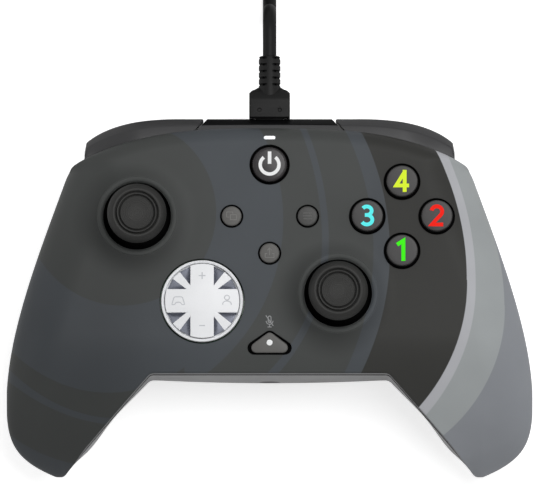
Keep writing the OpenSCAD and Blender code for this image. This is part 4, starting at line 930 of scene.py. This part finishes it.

# The seam along the front: a light edge beside the face, then a near-black line of painted shade for the shadow in the
# seam's gap
RIM_LIGHT = moulded("rim_edge_grey", (140, 140, 141), 0.4, grain=0.1)
SEAM_SHADE = moulded("seam_painted_shade", (12, 12, 12), 0.7, grain=0.1, shine=0.03)
long_way = np.concatenate([np.linspace(TIP_IN, front_line[1], 30)[3:], front_line[2:-2],
                           np.linspace(front_line[-2], front_line[-1], 20)])
for name, shift, width, tone in (("rim_edge", 0.4, 0.3, RIM_LIGHT), ("seam_shade_line", 0.1, 0.22, SEAM_SHADE)):
    line = long_way + np.array((0, 1)) * (shift * (inset(long_way[:, :1]) / RIM_SHOWN))
    line = np.concatenate([line, (line * (-1, 1))[-2::-1]])
    ax = np.abs(line[:, 0])
    on = edge_gaps(ax, line[:, 1])
    on[2] = np.zeros_like(ax)
    z = rear_skin(ax, line[:, 1], on)
    make(name, ribbon(line, width, z - 0.4, z + 0.03), tone, None, "case", "rear_plastic")

# Direction pad: a rimmed dish, a cross, and in each quarter a ridge between two falling facets
PAD_TOP, PAD_LOW, ARM, ARM_R, RIM_IN, FACET_START, PAD_END = FACE_Z + 1.6, 43.92, 3.45, 10.93, 11.13, 5.66, 10.75
PAD_WHITE = moulded("pad_white", (236, 237, 239), 0.3, grain=0.02, size=3000, shade=0.02)
# The falling facets are a grey metal, darker than the white ridges: the metal finish is the pad's own, the darker tone
# is painted shade on the steep facets
PAD_METAL_AND_SHADE = metal("pad_facets", (128, 131, 142), 0.3, scale=260)
dish = [(0, 45.35), (0.8, 45.15), (1.3, 44.77), (1.6, 44.3), (1.72, PAD_LOW), (11.8, PAD_LOW), (12, 44.1), (12, 47.35),
        (11.95, 47.55), (11.84, 47.68), (11.72, 47.72), (11.58, 47.7), (11.52, 47.62), (11.47, 47.42), (11.39, 47.42),
        (11.33, 47.6), (11.25, 47.58), (11.18, 47.4), (RIM_IN, 46.9), (RIM_IN, 45.4), (0, 45.4)]


def slab(grid, low, turn):
    """A closed solid from a grid of top points, turned on the pad, down to a level."""
    top = on_pad([p for row in grid for p in row], turn)
    faces = [(f[0], *f[:0:-1]) for f in grid_faces(len(grid), len(grid[0]))]
    return top + [(x, y, low) for x, y, _ in top], faces


def on_pad(points, turn):
    c, s = cos(turn), sin(turn)
    return [(DPAD[0] + c * x - s * y, DPAD[1] + s * x + c * y, z) for x, y, z in points]


def ridge_edge(d, v):
    """A point across the ridge, from -1 to 1, at a distance from the pad's centre."""
    along, across = np.array((1, 1)) / sqrt(2), np.array((-1, 1)) / sqrt(2)
    z = PAD_TOP - 0.03 - 1.25 * max(0, (d - 4.9) / 5.6) ** 1.25
    return np.array((*(along * d + across * v * (0.8 + 0.125 * (d - 5.7))), z))


ridge = [[ridge_edge(d, v) - (0, 0, 0.06 * v * v) for v in np.linspace(-1, 1, 7)]
         for d in np.linspace(4.2, PAD_END, 15)]
facet = []
for f in np.linspace(0.02, 1, 12):
    high = ridge_edge(FACET_START + f * (PAD_END - FACET_START), 1) - (0, 0, 0.05)
    low = np.array((ARM - 0.05, 4.4 + f * (10.25 - 4.4), PAD_TOP - 0.3 - 2.1 * f ** 0.6))
    facet.append([high * (1 - v) + low * v for v in np.linspace(0, 1, 8)])
other_facet = [[(y, x, z) for x, y, z in row[::-1]] for row in facet]
arm_line, ridges, facets = [], [], []
arm_angle = degrees(asin(ARM / ARM_R))
for q in range(4):
    turn = q * pi / 2
    arm_line += bow_path(*DPAD, ARM_R, 90 * q - arm_angle, 90 * q + arm_angle, 12)
    arm_line.append(on_pad([(ARM, ARM, 0)], turn)[0][:2])
    ridges.append(slab(ridge, 45, turn))
    facets += [slab(grid, 45.1, turn) for grid in (facet, other_facet)]
make("pad_cross", joined(lathe(dish, DPAD, 120), prism(arm_line, 45, PAD_TOP, 0.16, 3), *ridges),
     PAD_WHITE, 30, "dpad_tip_body", "pad_plastic", "dpad_plate")
make("pad_facet_set", joined(*facets), PAD_METAL_AND_SHADE, 30, "dpad_tip_body", "pad_plastic")
PAD_INK = printed("ink_pad", (196, 198, 202))
PAD_SIGN = [(-1.2, 1), (1.2, 1), (1.9, -1.3), (1.1, -1.3), (0.6, -0.6), (-0.6, -0.6), (-1.1, -1.3), (-1.9, -1.3)]
for name, dx, dy, *strokes in (
        ("plus", 0, 7.4, (0.3, [(-1, 0), (1, 0)]), (0.3, [(0, -1), (0, 1)])),
        ("minus", 0, -7.3, (0.3, [(-0.85, 0), (0.85, 0)])),
        ("pad", -7, 0.15, (0.28, rounded(PAD_SIGN, 0.45, 4), True)),
        ("person", 7.3, 0.15, (0.28, bow_path(0, 0.75, 0.72, 0, 360, 24)[:-1], True),
         (0.28, [(-1.25, -1.35)] + bow_path(0, -1.05, 0.8, 170, 10, 12, 1.25) + [(1.25, -1.35)]))):
    place = (DPAD[0] + dx, DPAD[1] + dy)
    sign("pad_sign_" + name, "dpad_tip_body", "pad_plastic", place, PAD_TOP, 0.02, PAD_INK, *strokes)

# Triggers: hollow-backed curved blades with rounded edges, on two arms with a hub
TRIGGER = moulded("trigger_satin", (36, 36, 37), 0.4, grain=0.12, size=3600)
BLADE_Y, SHELF, HALF = BUMPER_BACK - 1.9, TRIGGER_Z - 2.6, TRIGGER_W / 2
HUB = rect(1.12, -1.45, 2.55, 1.45)
ARM_SIDE = rect(TRIGGER_Y + 1.9, TRIGGER_Z - 2.55, TRIGGER_Y + 7.3, TRIGGER_TOP - 0.05)


def blade_point(back_by, share):
    return BLADE_Y - back_by, TRIGGER_LOW + (TRIGGER_TOP - TRIGGER_LOW) * share


def width_at(z, line):
    return float(np.interp(z, line[:, 1], line[:, 0]))


blade_out = bezier(blade_point(0, 1), blade_point(1.5, 0.62), blade_point(6, 0.25), blade_point(1.2, 0), 60)[::-1]
blade_in = bezier(blade_point(3.1, 0), blade_point(9, 0.22), blade_point(5.5, 0.5), (BLADE_Y - 6.5, SHELF), 60)
edge_curve = corner((HALF - 2.2, TRIGGER_LOW + 4.9), (HALF - 3, TRIGGER_LOW - 0.1), (HALF - 8, TRIGGER_LOW - 0.1), 30)
edge_curve = np.concatenate([edge_curve[::-1], [(HALF, TRIGGER_TOP + 1)]])
for side, sx in SIDES:
    cx = sx * TRIGGER_X
    sections = []
    for z in sorted([*np.linspace(TRIGGER_LOW, TRIGGER_TOP, 40), SHELF - 0.01, SHELF + 0.01, TRIGGER_LOW + 0.15]):
        ease = 0.3 if z in (TRIGGER_LOW, TRIGGER_TOP) else 0
        inside = (width_at(z, blade_in) if z < SHELF else TRIGGER_Y + 7) + ease
        half = width_at(z, edge_curve) - ease
        across = np.linspace(cx + half, cx - half, 9)
        box = [(cx - half, inside), (cx + half, inside)]
        box += [(x, min(width_at(z, blade_out), bow_at(x) - 0.8) - ease) for x in across]
        sections.append([(x, y, z) for x, y in rounded(box, 1.1, 5)])
    arms = []
    for mid in (cx - 5, cx + 5):
        arms.append(lathe(closed(HUB), (mid, TRIGGER_Y, TRIGGER_Z), 40, "x"))
        arms.append(loft([[(x, y, z) for y, z in ARM_SIDE] for x in (mid - 1.45, mid + 1.45)]))
    make(side + "_trigger_skin", joined(loft(sections), *arms), TRIGGER, 35,
         side + "_trigger_body", "trigger_plastic", side + "_trigger")

# Plug overmould with its dimples, and the slotted strain relief
PLUG_Y, PLUG_END, PLUG_HALF, PLUG_H, CHAMFER = 52.5, 61, 6, 8, 1.1
SLOPE, SLOPE_DROP, SLOPE_EASE = 3, 2.3, 0.25
RELIEF_R, RELIEF_IN, RELIEF_END = 3.2, 2.02, PLUG_END + 10
plug_line = rounded([
    (-PLUG_HALF, PLUG_Y), (PLUG_HALF, PLUG_Y), (PLUG_HALF, PLUG_END - CHAMFER), (PLUG_HALF - CHAMFER, PLUG_END),
    (CHAMFER - PLUG_HALF, PLUG_END), (-PLUG_HALF, PLUG_END - CHAMFER)], 0.5, 4)
plug_top = PLUG_Z + PLUG_H / 2


def plug_section(y, half_w, low, high, corner_r):
    return [(x, y, z) for x, z in rounded(rect(-half_w, low, half_w, high), corner_r, 4)][::-1]


sections = []
for y in (PLUG_Y, PLUG_Y + 0.3, PLUG_END - SLOPE - 0.6, PLUG_END - SLOPE, PLUG_END - SLOPE + 0.6,
          PLUG_END - CHAMFER, PLUG_END - 0.3, PLUG_END):
    ease = 0.3 if y in (PLUG_Y, PLUG_END) else 0
    u = max(0, y - PLUG_END + SLOPE)
    z = plug_top - SLOPE_DROP * (u - SLOPE_EASE * (1 - exp(-u / SLOPE_EASE))) / SLOPE - ease
    sections.append(plug_section(y, PLUG_HALF - max(0, y - PLUG_END + CHAMFER) - ease, PLUG_Z - 0.1, z, 0.55))
plug = solid("plug_overmould_body", loft(sections), OVERMOULD)
dimple = [(0, plug_top - 0.5), (0.45, plug_top - 0.5), (0.62, plug_top), (0.62, plug_top + 1), (0, plug_top + 1)]
cut(plug, *[lathe(dimple, (x, PLUG_Y + 2.3), 24) for x in (-3, 3)])
piece(plug, 35, "case", "plug_plastic", "cord_plug")
points, faces = prism(plug_line, -PLUG_Z - 0.1, PLUG_H / 2 - PLUG_Z, 0.55, 4)
low_half = [(x, y, -z) for x, y, z in points], [f[::-1] for f in faces]
make("plug_underside", joined(low_half, prism(rect(-4, 45.7, 4, 53.2), PLUG_Z - 1.5, PLUG_Z + 1.5, 0.2)),
     OVERMOULD, 35, "case", "plug_plastic")
make("plug_tongue", prism(rounded(rect(-3.4, 40.7, 3.4, 46.7), 0.4, 3), PLUG_Z - 0.9, PLUG_Z + 0.9, 0.15),
     STEEL, 35, "case", "steel")
sleeve = [(RELIEF_IN, PLUG_END - 4), (RELIEF_R, PLUG_END - 4), (RELIEF_R, RELIEF_END - 0.5),
          (RELIEF_R - 0.15, RELIEF_END - 0.15), (RELIEF_R - 0.5, RELIEF_END), (RELIEF_IN, RELIEF_END)]
relief = solid("strain_relief_sleeve", lathe(closed(sleeve), (0, 0, PLUG_Z), 72, "y"), OVERMOULD)
for mid in PLUG_END + 1.45 + 1.98 * np.arange(5):
    slot = rounded(rect(0.8, mid - 0.36, 2.85, mid + 0.36), 0.25, 3)
    dent = rounded([(2.98, mid - 0.3), (4.2, mid - 0.5), (4.2, mid + 0.5), (2.98, mid + 0.3)], 0.1, 2)
    for sx in (-1, 1):
        for line, low, high in ((slot, 0.5, 5), (slot, -5, -0.5), (dent, -5, 5)):
            cut(relief, prism([(sx * x, y) for x, y in line], PLUG_Z + low, PLUG_Z + high))
piece(relief, 35, "case", "plug_plastic", "strain_relief")
make("lead_in_relief", lathe(bore(1.98, PLUG_END - 0.3, RELIEF_END), (0, 0, PLUG_Z), 40, "y"),
     JACKET, 35, "case", "cord_jacket")
root = loft([plug_section(PLUG_END - 0.05, 4.6, PLUG_Z - 1.5, PLUG_Z + 1.5, 0.8),
             plug_section(PLUG_END + 0.9, 3, PLUG_Z - 1, PLUG_Z + 1, 0.6)])
make("relief_root", root, OVERMOULD, 35, "case", "plug_plastic")

# Light in the face
LENS, at, s = surface("light_lens", 0.35)
put(s, Base_Color=mix(noise(at, 900), srgb(244, 245, 247), srgb(254, 254, 255)),
    Emission_Color=(1, 1, 1, 1), Emission_Strength=0.25, Subsurface_Weight=0.1)
make("light_pill", prism(pill(LED, LED_W, LED_D), BUMPER_TOP + CLEAR, local_face(LED) + 0.15, 0.12, 3),
     LENS, 40, "case", "led_lens", "status_led")

# Finishes of the solids that stay as they are, in their own slots
BOARD, at, s = surface("board_green", 0.35, Coat_Weight=0.3)
brick = add(at, "TexBrick")
put(brick, Scale=260, Mortar_Size=0.06, Vector=at)
copper = maths("GREATER_THAN", noise(at, 320, 1), 0.56)
green = mix(copper, srgb(20, 74, 44), srgb(34, 104, 62))
put(s, Base_Color=mix(brick.outputs["Fac"], green, srgb(46, 120, 74)))
bump(s, copper, 0.3, 0.0001)
FINISHES = {
    "circuit_board": BOARD,
    "frame_plastic": moulded("frame_black", (58, 58, 60), 0.55, grain=0.3),
    "spacer_plastic": moulded("spacer_ivory", (222, 214, 190), 0.5, grain=0.2),
    "steel": STEEL,
    "black_steel": metal("blackened_steel", (62, 62, 64), 0.42, (1, 1, 8), 700),
    "membrane": moulded("membrane_silicone", (186, 187, 188), 0.62, grain=0.2),
    "weight_metal": metal("sintered_weight", (176, 150, 96), 0.45, scale=1500),
}
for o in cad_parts.values():
    for slot in o.material_slots:
        if slot.material:
            slot.material = FINISHES.get(slot.material.name.split(".")[0], slot.material)

# Pale floor, soft studio light, white behind
m, at, s = surface("floor_paper", 0.75, Specular_IOR_Level=0.1, Emission_Color=(1, 1, 1, 1))
seen = add(at, "LightPath").outputs["Is Camera Ray"]
put(s, Base_Color=mix(noise(at, 60, 3), (0.88, 0.88, 0.88), (0.92, 0.92, 0.92)),
    Emission_Strength=times(seen, 0.6))
floor = solid("floor", ([(x, y, 0) for x, y in rect(-3000, -3000, 3000, 3000)], [(0, 1, 2, 3)]), m)
floor.location.z = -0.0002
for name, place, aim, size, power in (
        ("overhead", (0.32, 0.3, 1.42), (0, 0.01, 0.04), 0.8, 12.2),
        ("left_edge", (-0.9, 0.05, 0.3), (0, 0, 0.03), 0.6, 1),
        ("right_edge", (0.9, 0.05, 0.3), (0, 0, 0.03), 0.6, 1),
        ("front_fill", (-0.6, -1.1, 0.9), (0, 0, 0.03), 0.8, 1.4)):
    data = bpy.data.lights.new(name, "AREA")
    data.shape, data.size, data.energy = "SQUARE", size, power
    o = placed(name, data)
    o.location = place
    o.rotation_euler = (Vector(place) - Vector(aim)).to_track_quat("Z", "Y").to_euler()
scene.world = world = bpy.data.worlds.new("studio")
world.use_nodes = True
backdrop = world.node_tree.nodes["Background"]
path = add(backdrop, "LightPath")
shown = path.outputs["Is Camera Ray"]
for ray in ("Is Glossy Ray", "Is Transmission Ray"):
    shown = maths("MAXIMUM", shown, path.outputs[ray])
put(backdrop, Color=(1, 1, 1, 1), Strength=ramp(shown, 0, 1, 0.32, 1))
